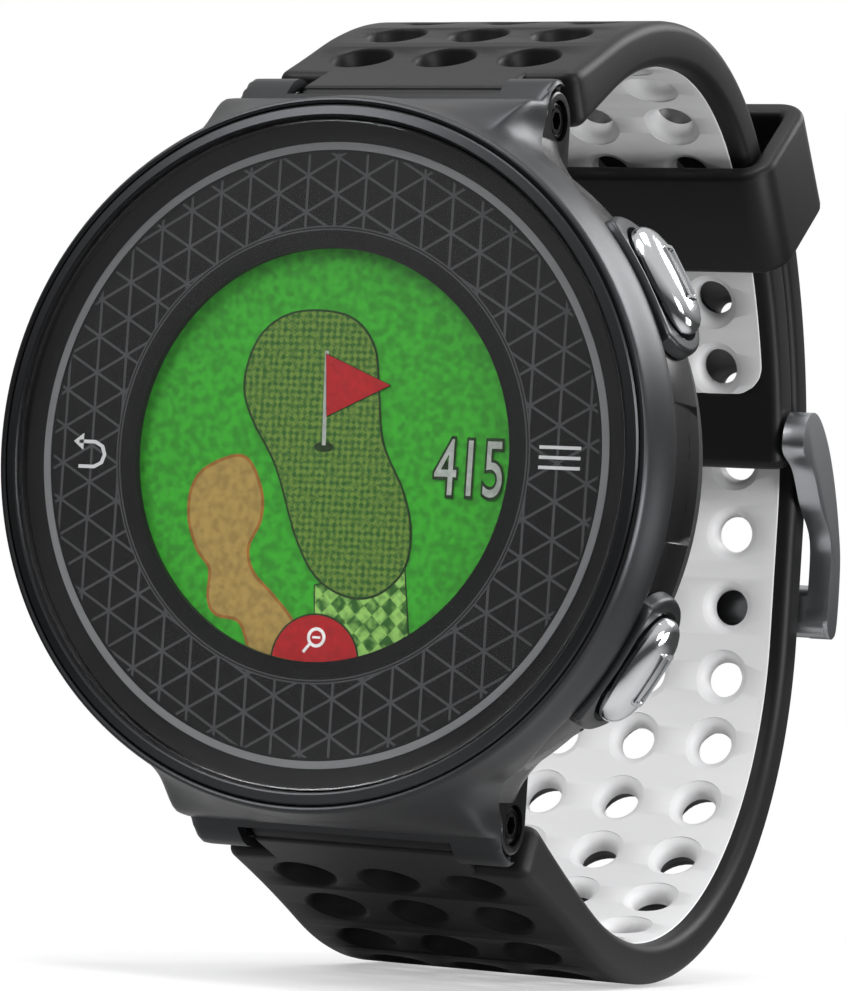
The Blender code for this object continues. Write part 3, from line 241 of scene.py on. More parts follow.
def turned(name, profile, segments=128, at=(0, 0)):
    """A turned piece: a circle drawn out along Y through (radius, y) steps.

    A profile that ends where it starts makes a ring; any other is closed by its end discs.
    """
    ring = profile[0] == profile[-1]
    radius, depth = profile[0]
    deselect()
    bpy.ops.mesh.primitive_circle_add(
        vertices=segments, radius=radius, fill_type="NOTHING" if ring else "NGON",
        location=(0, depth, 0), rotation=(math.pi / 2, 0, 0))
    piece = bpy.context.object
    piece.name = name
    apply_place(piece)
    edit(piece)
    for wide, deep in profile[1:]:
        bpy.ops.mesh.extrude_region_move(TRANSFORM_OT_translate={"value": (0, deep - depth, 0)})
        share = wide / radius
        bpy.ops.transform.resize(value=(share, 1, share), center_override=(0, deep, 0))
        radius, depth = wide, deep
    tidy(piece)
    if at != (0, 0):
        piece.location = (at[0], 0, at[1])
        apply_place(piece)
    return piece


def loft(name, rings, closed=False):
    """A skin over rings of points: a grid that is bent round and joined to itself."""
    across, along = len(rings[0]), len(rings)
    deselect()
    bpy.ops.mesh.primitive_grid_add(x_subdivisions=across, y_subdivisions=along - 1 + closed,
                                    size=1)
    piece = bpy.context.object
    piece.name = name
    for index, vertex in enumerate(piece.data.vertices):
        row, column = divmod(index, across + 1)
        vertex.co = rings[row % along][column % across]
    edit(piece)
    bpy.ops.mesh.remove_doubles(threshold=1e-7)
    if not closed:
        bpy.ops.mesh.select_all(action="DESELECT")
        bpy.ops.mesh.select_non_manifold()
        bpy.ops.mesh.fill_holes(sides=0)
    tidy(piece)
    return piece


def combine(piece, tool, operation="DIFFERENCE"):
    """Cut a tool from a piece, or join it on, and drop the tool."""
    modifier = piece.modifiers.new("combine", "BOOLEAN")
    modifier.operation = operation
    modifier.solver = "EXACT"
    modifier.object = tool
    only(piece)
    bpy.ops.object.modifier_apply(modifier=modifier.name)
    bpy.data.objects.remove(tool)


def round_edges(piece, width, segments=3, angle=40):
    """Round every edge that is sharper than the angle."""
    modifier = piece.modifiers.new("round", "BEVEL")
    modifier.width = width
    modifier.segments = segments
    modifier.limit_method = "ANGLE"
    modifier.angle_limit = math.radians(angle)
    only(piece)
    bpy.ops.object.modifier_apply(modifier=modifier.name)


def join(pieces):
    """Make several objects one."""
    only(pieces[0])
    for piece in pieces[1:]:
        piece.select_set(True)
    bpy.ops.object.join()
    return bpy.context.object


def circle(radius, a=0.0, b=0.0, steps=32):
    turns = [math.tau * i / steps for i in range(steps)]
    return [(a + radius * math.cos(t), b + radius * math.sin(t)) for t in turns]


def rod(name, radius, low, high, a=0.0, b=0.0, steps=32):
    """A round rod along X, its sizes in millimetres and its place in metres."""
    return plate(name, circle(radius * MM, a, b, steps), low * MM, high * MM)


def stadium(long, wide, steps=14):
    """A slot outline with round ends, long in its second direction."""
    radius = wide / 2
    reach = long / 2 - radius
    points = []
    for centre, start in ((reach, 0.0), (-reach, math.pi)):
        for i in range(steps + 1):
            t = start + math.pi * i / steps
            points.append((radius * math.cos(t), centre + radius * math.sin(t)))
    return points


def rounded_box(low_a, high_a, low_b, high_b, radius, steps=6):
    """A box outline with round corners."""
    corners = ((high_a - radius, high_b - radius), (low_a + radius, high_b - radius),
               (low_a + radius, low_b + radius), (high_a - radius, low_b + radius))
    points = []
    for quarter, (a, b) in enumerate(corners):
        for i in range(steps + 1):
            t = math.pi / 2 * (quarter + i / steps)
            points.append((a + radius * math.cos(t), b + radius * math.sin(t)))
    return points


def bend_between(p0, p1, p2, p3, steps):
    """Points of a smooth curve from p1 towards p2."""
    points = []
    for j in range(steps):
        t = j / steps
        points.append(0.5 * (2 * p1 + (p2 - p0) * t + (2 * p0 - 5 * p1 + 4 * p2 - p3) * t * t + (
            3 * p1 - p0 - 3 * p2 + p3) * t ** 3))
    return points


def smooth_outline(points, steps=6):
    """A closed smooth curve through a few corner points."""
    count = len(points)
    curve = []
    for i in range(count):
        corners = (Vector(points[(i + k) % count]) for k in (-1, 0, 1, 2))
        curve += [tuple(point) for point in bend_between(*corners, steps)]
    return curve


def finish(piece, material, replaced=(), body="watch", angle=35):
    """Shade a piece, paint it, and tie it to its body."""
    piece.data.materials.clear()
    piece.data.materials.append(material)
    only(piece)
    bpy.ops.object.shade_smooth_by_angle(angle=math.radians(angle))
    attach(piece, body)
    if replaced:
        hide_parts(*replaced)
    return piece


# ---------------------------------------------------------------- finishes

def add_node(tree, kind, settings=(), links=()):
    """Add a node with its settings, and link its inputs."""
    node = tree.nodes.new(kind)
    for key, value in dict(settings).items():
        if key in node.inputs:
            node.inputs[key].default_value = value
        else:
            setattr(node, key, value)
    for key, source in dict(links).items():
        tree.links.new(source, node.inputs[key])
    return node


def new_material(name, base, roughness, metallic=0.0, **sockets):
    """A Principled material; returns it with its tree, shader and object coordinates."""
    material = bpy.data.materials.new(name)
    material.use_nodes = True
    tree = material.node_tree
    shader = tree.nodes["Principled BSDF"]
    shader.inputs["Base Color"].default_value = (*base, 1)
    shader.inputs["Roughness"].default_value = roughness
    shader.inputs["Metallic"].default_value = metallic
    for key, value in sockets.items():
        shader.inputs[key.replace("_", " ")].default_value = value
    place = add_node(tree, "ShaderNodeTexCoord").outputs["Object"]
    return material, tree, shader, place


def grain(tree, shader, place, size, height, low, high):
    """Fine surface grain: noise drives the roughness between two values and a small bump."""
    noise = add_node(tree, "ShaderNodeTexNoise", {"Scale": 1 / size, "Detail": 3.0},
                     {"Vector": place})
    height_from = {"Height": noise.outputs["Fac"]}
    spread = add_node(tree, "ShaderNodeMapRange", {"To Min": low, "To Max": high},
                      {"Value": noise.outputs["Fac"]})
    tree.links.new(spread.outputs["Result"], shader.inputs["Roughness"])
    bump = add_node(tree, "ShaderNodeBump", {"Strength": 1.0, "Distance": height}, height_from)
    tree.links.new(bump.outputs["Normal"], shader.inputs["Normal"])


def grained(name, base, roughness, metallic, size, height, low, high, **sockets):
    """A material with a grain of a size and height in millimetres."""
    material, tree, shader, place = new_material(name, base, roughness, metallic, **sockets)
    grain(tree, shader, place, size * MM, height * MM, low, high)
    return material


def gunmetal_paint(settings):
    # Metallic paint on a moulded shell: dark satin grey with a soft, broad highlight and a
    # flake too fine to see one by one, drawn at 0.12 mm.
    return grained("gunmetal metallic paint", settings.case.shell_paint, 0.36, 0.85, 0.12, 0.002,
                   0.30, 0.42)


def rim_paint(settings):
    # Anodised aluminium on a turned ring: the shell's grey, a little smoother.
    return grained("satin grey anodised rim", settings.case.rim_paint, 0.3, 0.8, 0.1, 0.001, 0.26,
                   0.36)


def black_nylon(settings):
    # Glass-filled nylon from a polished mould: near black, glossy, a faint orange peel.
    return grained("glossy black nylon", settings.case.body_black, 0.22, 0.0, 0.6, 0.004, 0.18,
                   0.28, Specular_IOR_Level=0.4)


def black_silicone(settings):
    # Moulded silicone rubber with a fine eroded texture: dark and matt, with a soft sheen at edges.
    return grained("black silicone rubber", settings.strap.black, 0.48, 0.0, 0.16, 0.006, 0.42,
                   0.55, Specular_IOR_Level=0.25, Sheen_Weight=0.04, Sheen_Roughness=0.4)


def white_silicone(settings):
    # The white lining is the same silicone with a pale pigment: soft and matt.
    return grained("white silicone rubber", settings.strap.white, 0.5, 0.0, 0.2, 0.004, 0.45, 0.58)


def satin_steel(settings):
    # Stainless steel blasted with fine beads: bright, with a soft even gloss.
    return grained("bead blasted stainless steel", settings.metal.steel, 0.32, 1.0, 0.09, 0.003,
                   0.27, 0.38)


def polished_steel(settings):
    # Polished stainless steel: mirror-like, with very faint buffing haze.
    return grained("polished stainless steel", settings.metal.chrome, 0.12, 1.0, 0.5, 0.001, 0.09,
                   0.17)


def plain_finish(name, code, roughness, metallic=0.0, size=0.3):
    """A finish for a small or inner piece: one colour with its own fine grain."""
    return grained(name, linear(code), roughness, metallic, size, 0.002,
                   max(roughness - 0.06, 0.03), roughness + 0.06)


def blend(tree, share, first, second, end="Material Output"):
    """Mix two shaders by a share, a number or a socket, into the output."""
    mix = add_node(tree, "ShaderNodeMixShader")
    if isinstance(share, float):
        mix.inputs[0].default_value = share
    else:
        tree.links.new(share, mix.inputs[0])
    tree.links.new(first, mix.inputs[1])
    tree.links.new(second, mix.inputs[2])
    tree.links.new(mix.outputs[0], tree.nodes[end].inputs["Surface"])


def two_tone(tree, share, first, second):
    """Mix two colours by a share."""
    mix = add_node(tree, "ShaderNodeMix", {"data_type": "RGBA"})
    tree.links.new(share, mix.inputs[0])
    mix.inputs[6].default_value = (*first, 1)
    mix.inputs[7].default_value = (*second, 1)
    return mix.outputs[2]


def cover_glass():
    # Hardened mineral glass, polished: clear, with a crisp reflection. Lamps shine through it.
    material, tree, shader, _ = new_material("hardened mineral glass", (1, 1, 1), 0.02,
                                             Transmission_Weight=1.0, IOR=1.45)
    clear = add_node(tree, "ShaderNodeBsdfTransparent")
    ray = add_node(tree, "ShaderNodeLightPath")
    blend(tree, ray.outputs["Is Shadow Ray"], shader.outputs[0], clear.outputs[0])
    return material


def arithmetic(tree, operation, first, second=0.0):
    """One step of arithmetic between two sockets or numbers."""
    node = add_node(tree, "ShaderNodeMath", {"operation": operation})
    for socket, value in zip(node.inputs, (first, second)):
        if isinstance(value, (int, float)):
            socket.default_value = value
        else:
            tree.links.new(value, socket)
    return node.outputs[0]


def printed_dial(settings):
    # Screen-printed lacquer on a black film: thin grey triangles and circles on a dull black.
    dial = settings.dial
    material, tree, shader, place = new_material("screen printed dial", dial.ground, 0.5,
                                                 Specular_IOR_Level=0.2)
    split = add_node(tree, "ShaderNodeSeparateXYZ", links={"Vector": place})
    x, z = split.outputs["X"], split.outputs["Z"]
    lines = None

    def step(operation, *values):
        return arithmetic(tree, operation, *values)

    for slant in (0.0, math.radians(60), math.radians(120)):
        across = step("ADD", step("MULTIPLY", x, math.cos(slant) / dial.lattice_pitch),
                      step("MULTIPLY", z, math.sin(slant) / dial.lattice_pitch))
        off = step("ABSOLUTE", step("SUBTRACT", step("FRACT", step("ADD", across, 0.5)), 0.5))
        line = step("LESS_THAN", off, dial.line_width / dial.lattice_pitch / 2)
        lines = line if lines is None else step("MAXIMUM", lines, line)
    radius = step("SQRT", step("ADD", step("MULTIPLY", x, x), step("MULTIPLY", z, z)))

    def ring(inner, outer):
        return step("MULTIPLY", step("GREATER_THAN", radius, inner), step("LESS_THAN", radius,
                                                                          outer))

    lattice = step("MULTIPLY", lines, ring(dial.circle_radius + 0.12 * MM, dial.lattice_radius))
    thin = step("MAXIMUM", ring(dial.circle_radius - 0.16 * MM, dial.circle_radius - 0.06 * MM),
                ring(dial.circle_radius + 0.02 * MM, dial.circle_radius + 0.12 * MM))
    ink = step("MAXIMUM", lattice, thin)
    tree.links.new(two_tone(tree, ink, dial.ground, dial.line_grey), shader.inputs["Base Color"])
    return material


def screen_colour(name, first, second, size, glow, weave=0.0):
    # A transflective colour display: each colour is a checker of two tones, one dot every
    # 0.16 mm, drawn as coarse as it needs to show, and lit a little from behind.
    material, tree, shader, place = new_material(name, first, 0.45)
    noise = add_node(tree, "ShaderNodeTexNoise", {"Scale": 1 / (size * MM), "Detail": 1.0},
                     {"Vector": place})
    share = noise.outputs["Fac"]
    if weave:
        tilt = add_node(tree, "ShaderNodeMapping", {"Rotation": (0, math.radians(45), 0)},
                        {"Vector": place})
        check = add_node(tree, "ShaderNodeTexChecker", {"Scale": 1 / (weave * MM)},
                         {"Vector": tilt.outputs["Vector"]})
        share = arithmetic(tree, "ADD", arithmetic(tree, "MULTIPLY", share, 0.8),
                           arithmetic(tree, "MULTIPLY", check.outputs["Fac"], 0.2))
    ramp = add_node(tree, "ShaderNodeMapRange", {"From Min": 0.35, "From Max": 0.65},
                    {"Value": share})
    tone = two_tone(tree, ramp.outputs["Result"], first, second)
    tree.links.new(tone, shader.inputs["Base Color"])
    tree.links.new(tone, shader.inputs["Emission Color"])
    shader.inputs["Emission Strength"].default_value = glow
    return material


def scaled(code, factor):
    """A colour made lighter or darker."""
    return tuple(min(1.0, c * factor) for c in code)


# ---------------------------------------------------------------- the strap's line

def run_path(start, slope, pieces, step):
    """Follow straight pieces (length,) and arcs (radius, degrees): (distance, y, z, heading)."""
    y, z = start
    heading = math.radians(slope)
    travelled = 0.0
    stations = [(travelled, y, z, heading)]
    for piece in pieces:
        bend = math.radians(piece[1]) if len(piece) == 2 else 0.0
        run = abs(piece[0] * bend) if bend else piece[0]
        count = max(2, math.ceil(run / step))
        for _ in range(count):
            middle = heading + bend / count / 2
            chord = 2 * piece[0] * abs(math.sin(bend / count / 2)) if bend else run / count
            y += chord * math.cos(middle)
            z += chord * math.sin(middle)
            heading += bend / count
            travelled += run / count
            stations.append((travelled, y, z, heading))
    return stations


def station(path, distance):
    """The point and heading at a distance along a path."""
    for before, after in zip(path, path[1:]):
        if distance <= after[0]:
            share = (distance - before[0]) / (after[0] - before[0])
            return [distance] + [b + share * (a - b) for b, a in zip(before[1:], after[1:])]
    return list(path[-1])


def upper_path():
    """From the upper pin over the crest, then round the wrist to the strap's end."""
    slope, straight, crest = 29, 9.4 * MM, 27.5 * MM
    rise = math.radians(slope)
    crest_y = PIN_Y + straight * math.cos(rise) + crest * math.sin(rise)
    crest_z = PIN_Z + straight * math.sin(rise) + crest * (1 - math.cos(rise))
    offset = crest_y - WRIST_Y
    shoulder = (WRIST_RADIUS ** 2 - offset ** 2 - crest_z ** 2) / (2 * (WRIST_RADIUS - crest_z))
    meet = math.degrees(math.atan2(crest_z - shoulder, offset))
    pieces = [(straight,), (crest, -slope), (shoulder, meet - 90), (WRIST_RADIUS, -meet)]
    return run_path((PIN_Y, PIN_Z), slope, pieces, PATH_STEP)


def lower_path():
    """From the lower pin under the wrist, up the back and outside the upper strap."""
    slope, straight, foot = 26, 15 * MM, 25.7 * MM
    dip = math.radians(slope)
    bottom_y = PIN_Y + straight * math.cos(dip) + foot * math.sin(dip)
    bottom_z = PIN_Z + straight * math.sin(dip) + foot * (1 - math.cos(dip))
    heel = WRIST_Y + OUTER_RADIUS - bottom_y
    pieces = [(straight,), (foot, slope), (heel, 90), (bottom_z - heel,),
              (OUTER_RADIUS, OUTER_WRAP)]
    return run_path((PIN_Y, -PIN_Z), -slope, pieces, PATH_STEP)


def beside(point, offset):
    """The place that lies an offset to the left of the heading."""
    _, y, z, heading = point
    return y - offset * math.sin(heading), z + offset * math.cos(heading)


def strap_half(thickness):
    """Half the strap's thickness as a function of the distance from its pin."""
    def half(distance):
        share = max(0.0, 1 - distance / (15 * MM))
        return (thickness + (4.4 * MM - thickness) * share * share) / 2
    return half


def sweep(name, path, start, stop, half_width, low, high, edge, corners):
    """A band along a path, between two offsets, with rounded edges and rounded end corners."""
    distances = {start, stop}
    distances |= {p[0] for p in path if start + 1.2 * edge < p[0] < stop - 1.2 * edge}
    for round_off, sign, end in ((edge, 1, start), (corners[0], 1, start), (edge, -1, stop),
                                 (corners[1], -1, stop)):
        distances |= {end + sign * round_off * (1 - math.cos(math.radians(a))) for a in (20, 40, 60,
                                                                                         80)}
    distances = sorted(distances)
    kept = [distances[0]]
    for distance in distances[1:-1]:
        if distance - kept[-1] > 0.03 * MM and stop - distance > 0.02 * MM:
            kept.append(distance)
    rings = []
    for distance in kept + [stop]:
        point = station(path, distance)
        pull = 0.0
        for near, corner in ((distance - start, corners[0]), (stop - distance, corners[1])):
            if near < corner:
                pull = corner - math.sqrt(max(0.0, corner ** 2 - (corner - near) ** 2))
        near = min(distance - start, stop - distance)
        thin = edge - math.sqrt(max(0.0, edge ** 2 - (edge - near) ** 2)) if near < edge else 0.0
        bottom, top = low(distance) + 0.9 * thin, high(distance) - 0.9 * thin
        soft = min(edge, (top - bottom) * 0.49)
        section = rounded_box(-half_width + pull, half_width - pull, bottom, top, soft)
        rings.append([(x, *beside(point, offset)) for x, offset in section])
    return loft(name, rings)


# Depth and widening at a hole's outer mouth, and widening and depth at its narrow end, in mm
MOUTH_STEPS = ((0.5, 0.03), (0.0, 0.0), (-0.04, -0.12), (-0.14, -0.23), (-0.32, -0.31),
               (-0.6, -0.4), (-1.0, -0.6))
NARROW_STEPS = ((0.0, 1.2), (0.02, 0.85), (0.06, 0.6), (0.14, 0.38), (0.26, 0.2), (0.42, 0.08),
                (0.58, 0.0), (0.72, -0.07), (0.75, -0.6))


def spool_cutter(name, path, rows, half, side, tight, settings):
    """Every hole of a strap half as one cutter: a wide soft mouth outside, a narrow one inside."""
    strap = settings.strap
    mouth, narrow = strap.mouth_radius - tight, strap.hole_radius - tight
    made = []
    for distance in rows:
        _, y, z, heading = station(path, distance)
        reach = half(distance)
        profile = [(mouth + wide * MM, reach + deep * MM) for deep, wide in MOUTH_STEPS]
        profile += [(narrow + wide * MM, -reach + deep * MM) for wide, deep in NARROW_STEPS]
        # The spool's +Y end is the strap's inner side, so its outer mouth turns to the outside.
        along, up = side * math.sin(heading), -side * math.cos(heading)
        for column in (-1, 0, 1):
            spool = turned(name, profile, 28)
            spool.data.transform(Matrix(((1, 0, 0, column * COLUMN_PITCH), (0, along, -up, y),
                                         (0, up, along, z), (0, 0, 0, 1))))
            made.append(spool)
    return join(made)


def strap_band(word, path, side, thickness, stop, rows, lining_stop, corner, settings):
    """Build one half of the strap with its tube and holes, and its white lining."""
    strap = settings.strap
    half = strap_half(thickness)
    pin_z = path[0][2]
    body = sweep(f"{word}_band", path, 3.3 * MM, stop, strap.half_width, lambda d: -half(d), half,
                 strap.edge_round, (1.0 * MM, corner))
    tab = sweep(f"{word}_tab", path, 0.2 * MM, 7 * MM, 7.1 * MM, lambda d: -half(d), half, 0.3 * MM,
                (0.1 * MM, 0.1 * MM))
    tube = rod(f"{word}_tube", 2.0, -7.0, 7.0, PIN_Y, pin_z, 48)
    round_edges(tube, 0.3 * MM)
    combine(body, tab, "UNION")
    combine(body, tube, "UNION")
    combine(body, rod("pin_hole", 1.1, -12, 12, PIN_Y, pin_z, 32))
    proud = 0.05 * MM
    skin = (lambda d: half(d) - 1.2 * MM, lambda d: half(d) + proud) if side > 0 else (
        lambda d: -half(d) - proud, lambda d: -half(d) + 1.2 * MM)
    lining = sweep(f"{word}_lining", path, 5.0 * MM, lining_stop, strap.lining_half_width, *skin,
                   0.12 * MM, (2.2 * MM, 2.2 * MM))
    # The lining's holes are a hair narrower, so its white shows on their walls.
    combine(body, spool_cutter(f"{word}_holes", path, rows, half, side, 0.0, settings))
    combine(lining, spool_cutter(f"{word}_holes", path, rows, half, side, 0.04 * MM, settings))
    return body, lining


# ---------------------------------------------------------------- case and shell

def lug_side(side, radius, root, root_front, steps=24):
    """A lug seen from the side: a round end about the pin, rooted in the case."""
    outline = [(PIN_Y + radius, side * root)]
    for i in range(steps + 1):
        t = math.pi * i / steps
        outline.append((PIN_Y + radius * math.cos(t), side * (PIN_Z + radius * math.sin(t))))
    outline.append((root_front, side * root))
    return outline


def strap_bays(name, room):
    """Room between the lugs for both tubes of the strap."""
    pieces = []
    for side in (1, -1):
        outline = [(14 * MM, side * 44 * MM), (PIN_Y - room, side * 44 * MM)]
        for i in range(25):
            t = math.pi * (1 + i / 48)
            outline.append((PIN_Y + room * math.cos(t), side * (PIN_Z + room * math.sin(t))))
        outline.append((14 * MM, side * (PIN_Z - room)))
        pieces.append(plate(name, outline, -7.4 * MM, 7.4 * MM))
    return join(pieces)


def beyond(name, front, near):
    """Two blocks, above and below, that trim what lies further out than a height."""
    for side in (1, -1):
        low, high = span(side, near, 44)
        corners = [(front * MM, low), (15 * MM, low), (15 * MM, high), (front * MM, high)]
        yield plate(name, corners, -30 * MM, 30 * MM)


def about_button(piece, where):
    """Turn a piece that was drawn looking out along +X to one button's place."""
    piece.data.transform(Matrix.Translation((0, BUTTON_Y, 0)) @ Matrix.Rotation(
        -math.radians(BUTTONS[where]), 4, "Y"))
    return piece


def flare_angles():
    """Angles round the case, close together where a lug's side makes a corner."""
    quarter = [1.5 * i for i in range(41)] + [61 + 0.3 * i for i in range(24)]
    quarter += [68.5 + 1.5 * i for i in range(15)]
    quarter = sorted({min(a, 90.0) for a in quarter})
    turns = quarter + [180 - a for a in quarter]
    turns += [180 + a for a in turns]
    return sorted({round(a % 360, 3) for a in turns})


def flare_radius(degrees, y, ring, inset, case):
    """How far out the case reaches at an angle and depth: its ring, swelling towards the lugs."""
    c, s = abs(math.cos(math.radians(degrees))), abs(math.sin(math.radians(degrees)))
    edge = case.lug_width - inset
    if s < 0.6:
        return ring
    rise = max(0.0, LUG_ROUND ** 2 - (y - PIN_Y) ** 2) if y < PIN_Y else LUG_ROUND ** 2
    top = (PIN_Z + max(math.sqrt(rise),
                       0.9 * MM * min(1.0, max(0.0, (y + 12.4 * MM) / (6 * MM)))) - inset) / s
    z0, x1, z1 = PIN_Z - 0.4 * MM, 15.6 * MM - inset * 0.7, 15.8 * MM - inset * 0.7
    slope = c / s
    qa, qb, qc = x1 - edge, -slope * (z1 - z0), edge - slope * z0
    if qc > 0:
        side = edge / max(c, 1e-6)
    else:
        share = (-qb + math.sqrt(qb * qb - 4 * qa * qc)) / (2 * qa)
        side = (z0 + (z1 - z0) * share) / s if share < 1 else ring
    sharp = 3.5 / MM
    low = min(top, side)
    plan = low - math.log(sum(math.exp(-sharp * (r - low)) for r in (top, side))) / sharp
    share = min(1.0, max(0.0, (y + 12.9 * MM) / (5.4 * MM)))
    return ring + max(0.0, plan - ring) * share * share * (3 - 2 * share)


def flared(name, front, ring_at, first, back_at, inset, inner, case, rows=16):
    """A solid round the case: fixed front points, then rows that swell at the lugs."""
    rings = []
    for degrees in flare_angles():
        t = math.radians(degrees)
        back = back_at(degrees)
        section = list(front)
        for row in range(rows + 1):
            y = first + (back - first) * row / rows
            trim = (0.22 * MM, 0.06 * MM)[rows - row] if row > rows - 2 else 0.0
            section.append((flare_radius(degrees, y, ring_at(y), inset, case) - trim, y))
        section += [(inner, back), (inner, front[0][1])]
        rings.append([(r * math.cos(t), y, r * math.sin(t)) for r, y in section])
    return loft(name, rings, closed=True)


def ease(value, start, stop):
    """0 before start, 1 after stop, smooth between."""
    share = min(1.0, max(0.0, (value - start) / (stop - start)))
    return share * share * (3 - 2 * share)


def from_side(degrees):
    """The angle up from three or nine o'clock."""
    turn_by = abs(degrees % 180)
    return min(turn_by, 180 - turn_by)


def make_shell(settings):
    """The painted shell: ring, two lug covers and three button collars."""
    case = settings.case
    grow = case.shell_radius / (22.5 * MM)

    def ring_at(y):
        share = ease(y, -13.6 * MM, -10 * MM)
        return grow * (22.02 * MM + 0.48 * MM * share)

    def back_at(degrees):
        up = from_side(degrees)
        return (-9.4 + 3.2 * ease(up, 45, 61) + 3.5 * ease(up, 61, 64.5)) * MM

    lip = mm([(21.5, -13.3), (21.62, -13.3), (21.68, -13.37), (21.78, -13.4), (21.9, -13.36),
              (22.0, -13.22)])
    shell = flared("case_shell", lip, ring_at, -13.0 * MM, back_at, 0.0, 20 * MM, case)
    half = [(-3.35, -3.2), (-2.6, -4.3), (-1.0, -4.8), (0.6, -4.7), (2.2, -3.8), (3.1, -1.8)]
    outline = mm(smooth_outline(half + [(a, -b) for a, b in reversed(half)], 4))
    for where in BUTTONS:
        collar = plate("button_collar", outline, 21.7 * MM, 22.9 * MM)
        round_edges(collar, 0.3 * MM, 4, 50)
        for vertex in collar.data.vertices:
            vertex.co.x -= vertex.co.z ** 2 / (50 * MM)
        combine(shell, about_button(collar, where), "UNION")
    room = turned("shell_room", mm([(21.6, -16), (21.6, -9.95), (22.1, -9.5), (22.1, 14)]), 192)
    for block in beyond("room_flat", -9.9, 21.7):
        combine(room, block)
    combine(shell, room)
    combine(shell, strap_bays("shell_bay", 2.35 * MM))
    for side, hand in LUGS:
        combine(shell, plate("lug_room", lug_side(side, 2.0 * MM, 18 * MM, -8.5 * MM),
                             *span(hand, 6.4, 12.6)))
        combine(shell, plate("lug_side_room", lug_side(side, 2.3 * MM, 18.5 * MM, -7.0 * MM),
                             *span(hand, 10.3, 12.6)))
    for where in BUTTONS:
        hole = plate("collar_hole", stadium(*BUTTON_SLOT), 21 * MM, 30 * MM)
        combine(shell, about_button(hole, where))
    return shell


def make_body(settings):
    """The black case: a turned body with four lugs, button pockets and a charging notch."""
    radius = settings.case.body_radius
    wide = radius / (22 * MM)
    outline = [(20.9, -12.35), (21.46, -12.35), (21.46, -9.75), (21.6, -9.5), (21.92, -9.2),
               (22.0, -9.05), (22.0, -4.75), (21.93, -4.5), (21.8, -4.25), (21.1, -2.65),
               (20.95, -2.46), (20.75, -2.4), (18.8, -2.4), (18.8, -11.35), (20.9, -11.35),
               (20.9, -12.35)]
    body = turned("case_middle", [(r * MM * (wide if r > 21.5 else 1), y * MM) for r, y in outline],
                  192)
    for block in beyond("flat", -9.5, 21.45):
        combine(body, block)
    for side, hand in LUGS:
        lug = plate("lug", lug_side(side, 1.88 * MM, 18 * MM, -7.9 * MM), *span(hand, 7.5, 10.6))
        round_edges(lug, 0.2 * MM, 3, 60)
        combine(body, lug, "UNION")
    flank = flared("flank", mm([(19.2, -8.9)]), lambda y: 21.6 * MM, -8.9 * MM, lambda a: -3.2 * MM,
                   0.2 * MM, 19.2 * MM, settings.case, 10)
    for block in beyond("flank_trim", -20, 20.6):
        combine(flank, block)
    combine(body, flank, "UNION")
    combine(body, strap_bays("body_bay", 2.3 * MM))
    combine(body, turned("cover_room", mm([(21.2, -2.3), (21.2, 14)]), 128))
    for side, hand in LUGS:
        combine(body, plate("seat", circle(1.3 * MM, PIN_Y, side * PIN_Z), *span(hand, 9.1, 12)))
    notch = plate("notch", rounded_box(-6.3 * MM, -4.4 * MM, -4.1 * MM, 4.1 * MM, 0.3 * MM),
                  21.3 * MM, 24 * MM)
    combine(body, notch)
    for where in BUTTONS:
        pocket = plate("pocket", stadium(*BUTTON_SLOT), 21 * MM, 30 * MM)
        combine(body, about_button(pocket, where))
    return body


def make_lug_screw(side, hand):
    """A round-headed screw with a hexagonal socket and a fine ring round it."""
    screw = plate("lug_screw", circle(1.2 * MM, PIN_Y, side * PIN_Z, 48), *span(hand, 9.2, 10.4))
    round_edges(screw, 0.18 * MM, 3, 60)
    combine(screw, plate("shank", circle(0.7 * MM, PIN_Y, side * PIN_Z), *span(hand, 5.8, 9.5)),
            "UNION")
    groove = plate("groove", circle(0.95 * MM, PIN_Y, side * PIN_Z), *span(hand, 10.3, 11))
    combine(groove, rod("core", 0.82, -20, 20, PIN_Y, side * PIN_Z))
    combine(screw, groove)
    combine(screw, plate("socket", circle(0.62 * MM, PIN_Y, side * PIN_Z, 6), *span(hand, 9.6, 11)))
    return screw


def make_cap(where):
    """A domed cap with a raised frame on its face, on its shaft."""
    outline = []
    for i in range(72):
        t = math.tau * i / 72
        a, b = math.cos(t), math.sin(t)
        outline.append((2.2 * MM * math.copysign(abs(a) ** 0.85, a),
                        3.7 * MM * math.copysign(abs(b) ** 0.85, b)))
    steps = ((0.97, 22.2), (1.0, 22.3), (1.0, 22.95), (0.985, 23.15), (0.95, 23.35), (0.89, 23.54),
             (0.79, 23.71), (0.64, 23.85), (0.42, 23.95), (0.15, 24.0))
    rings = [[(x * MM, a * share, b * share) for a, b in outline] for share, x in steps]
    cap = loft(f"{where}_cap", rings)
    raised = plate("raised", rounded_box(-0.75 * MM, 0.75 * MM, -1.9 * MM, 1.9 * MM, 0.3 * MM),
                   23.4 * MM, 24.06 * MM)
    inner = plate("inner", rounded_box(-0.5 * MM, 0.5 * MM, -1.65 * MM, 1.65 * MM, 0.15 * MM),
                  23 * MM, 25 * MM)
    combine(raised, inner)
    combine(cap, raised, "UNION")
    combine(cap, rod("shaft", 0.8, 16.4, 22.5), "UNION")
    return about_button(cap, where)


# ---------------------------------------------------------------- buckle and keeper

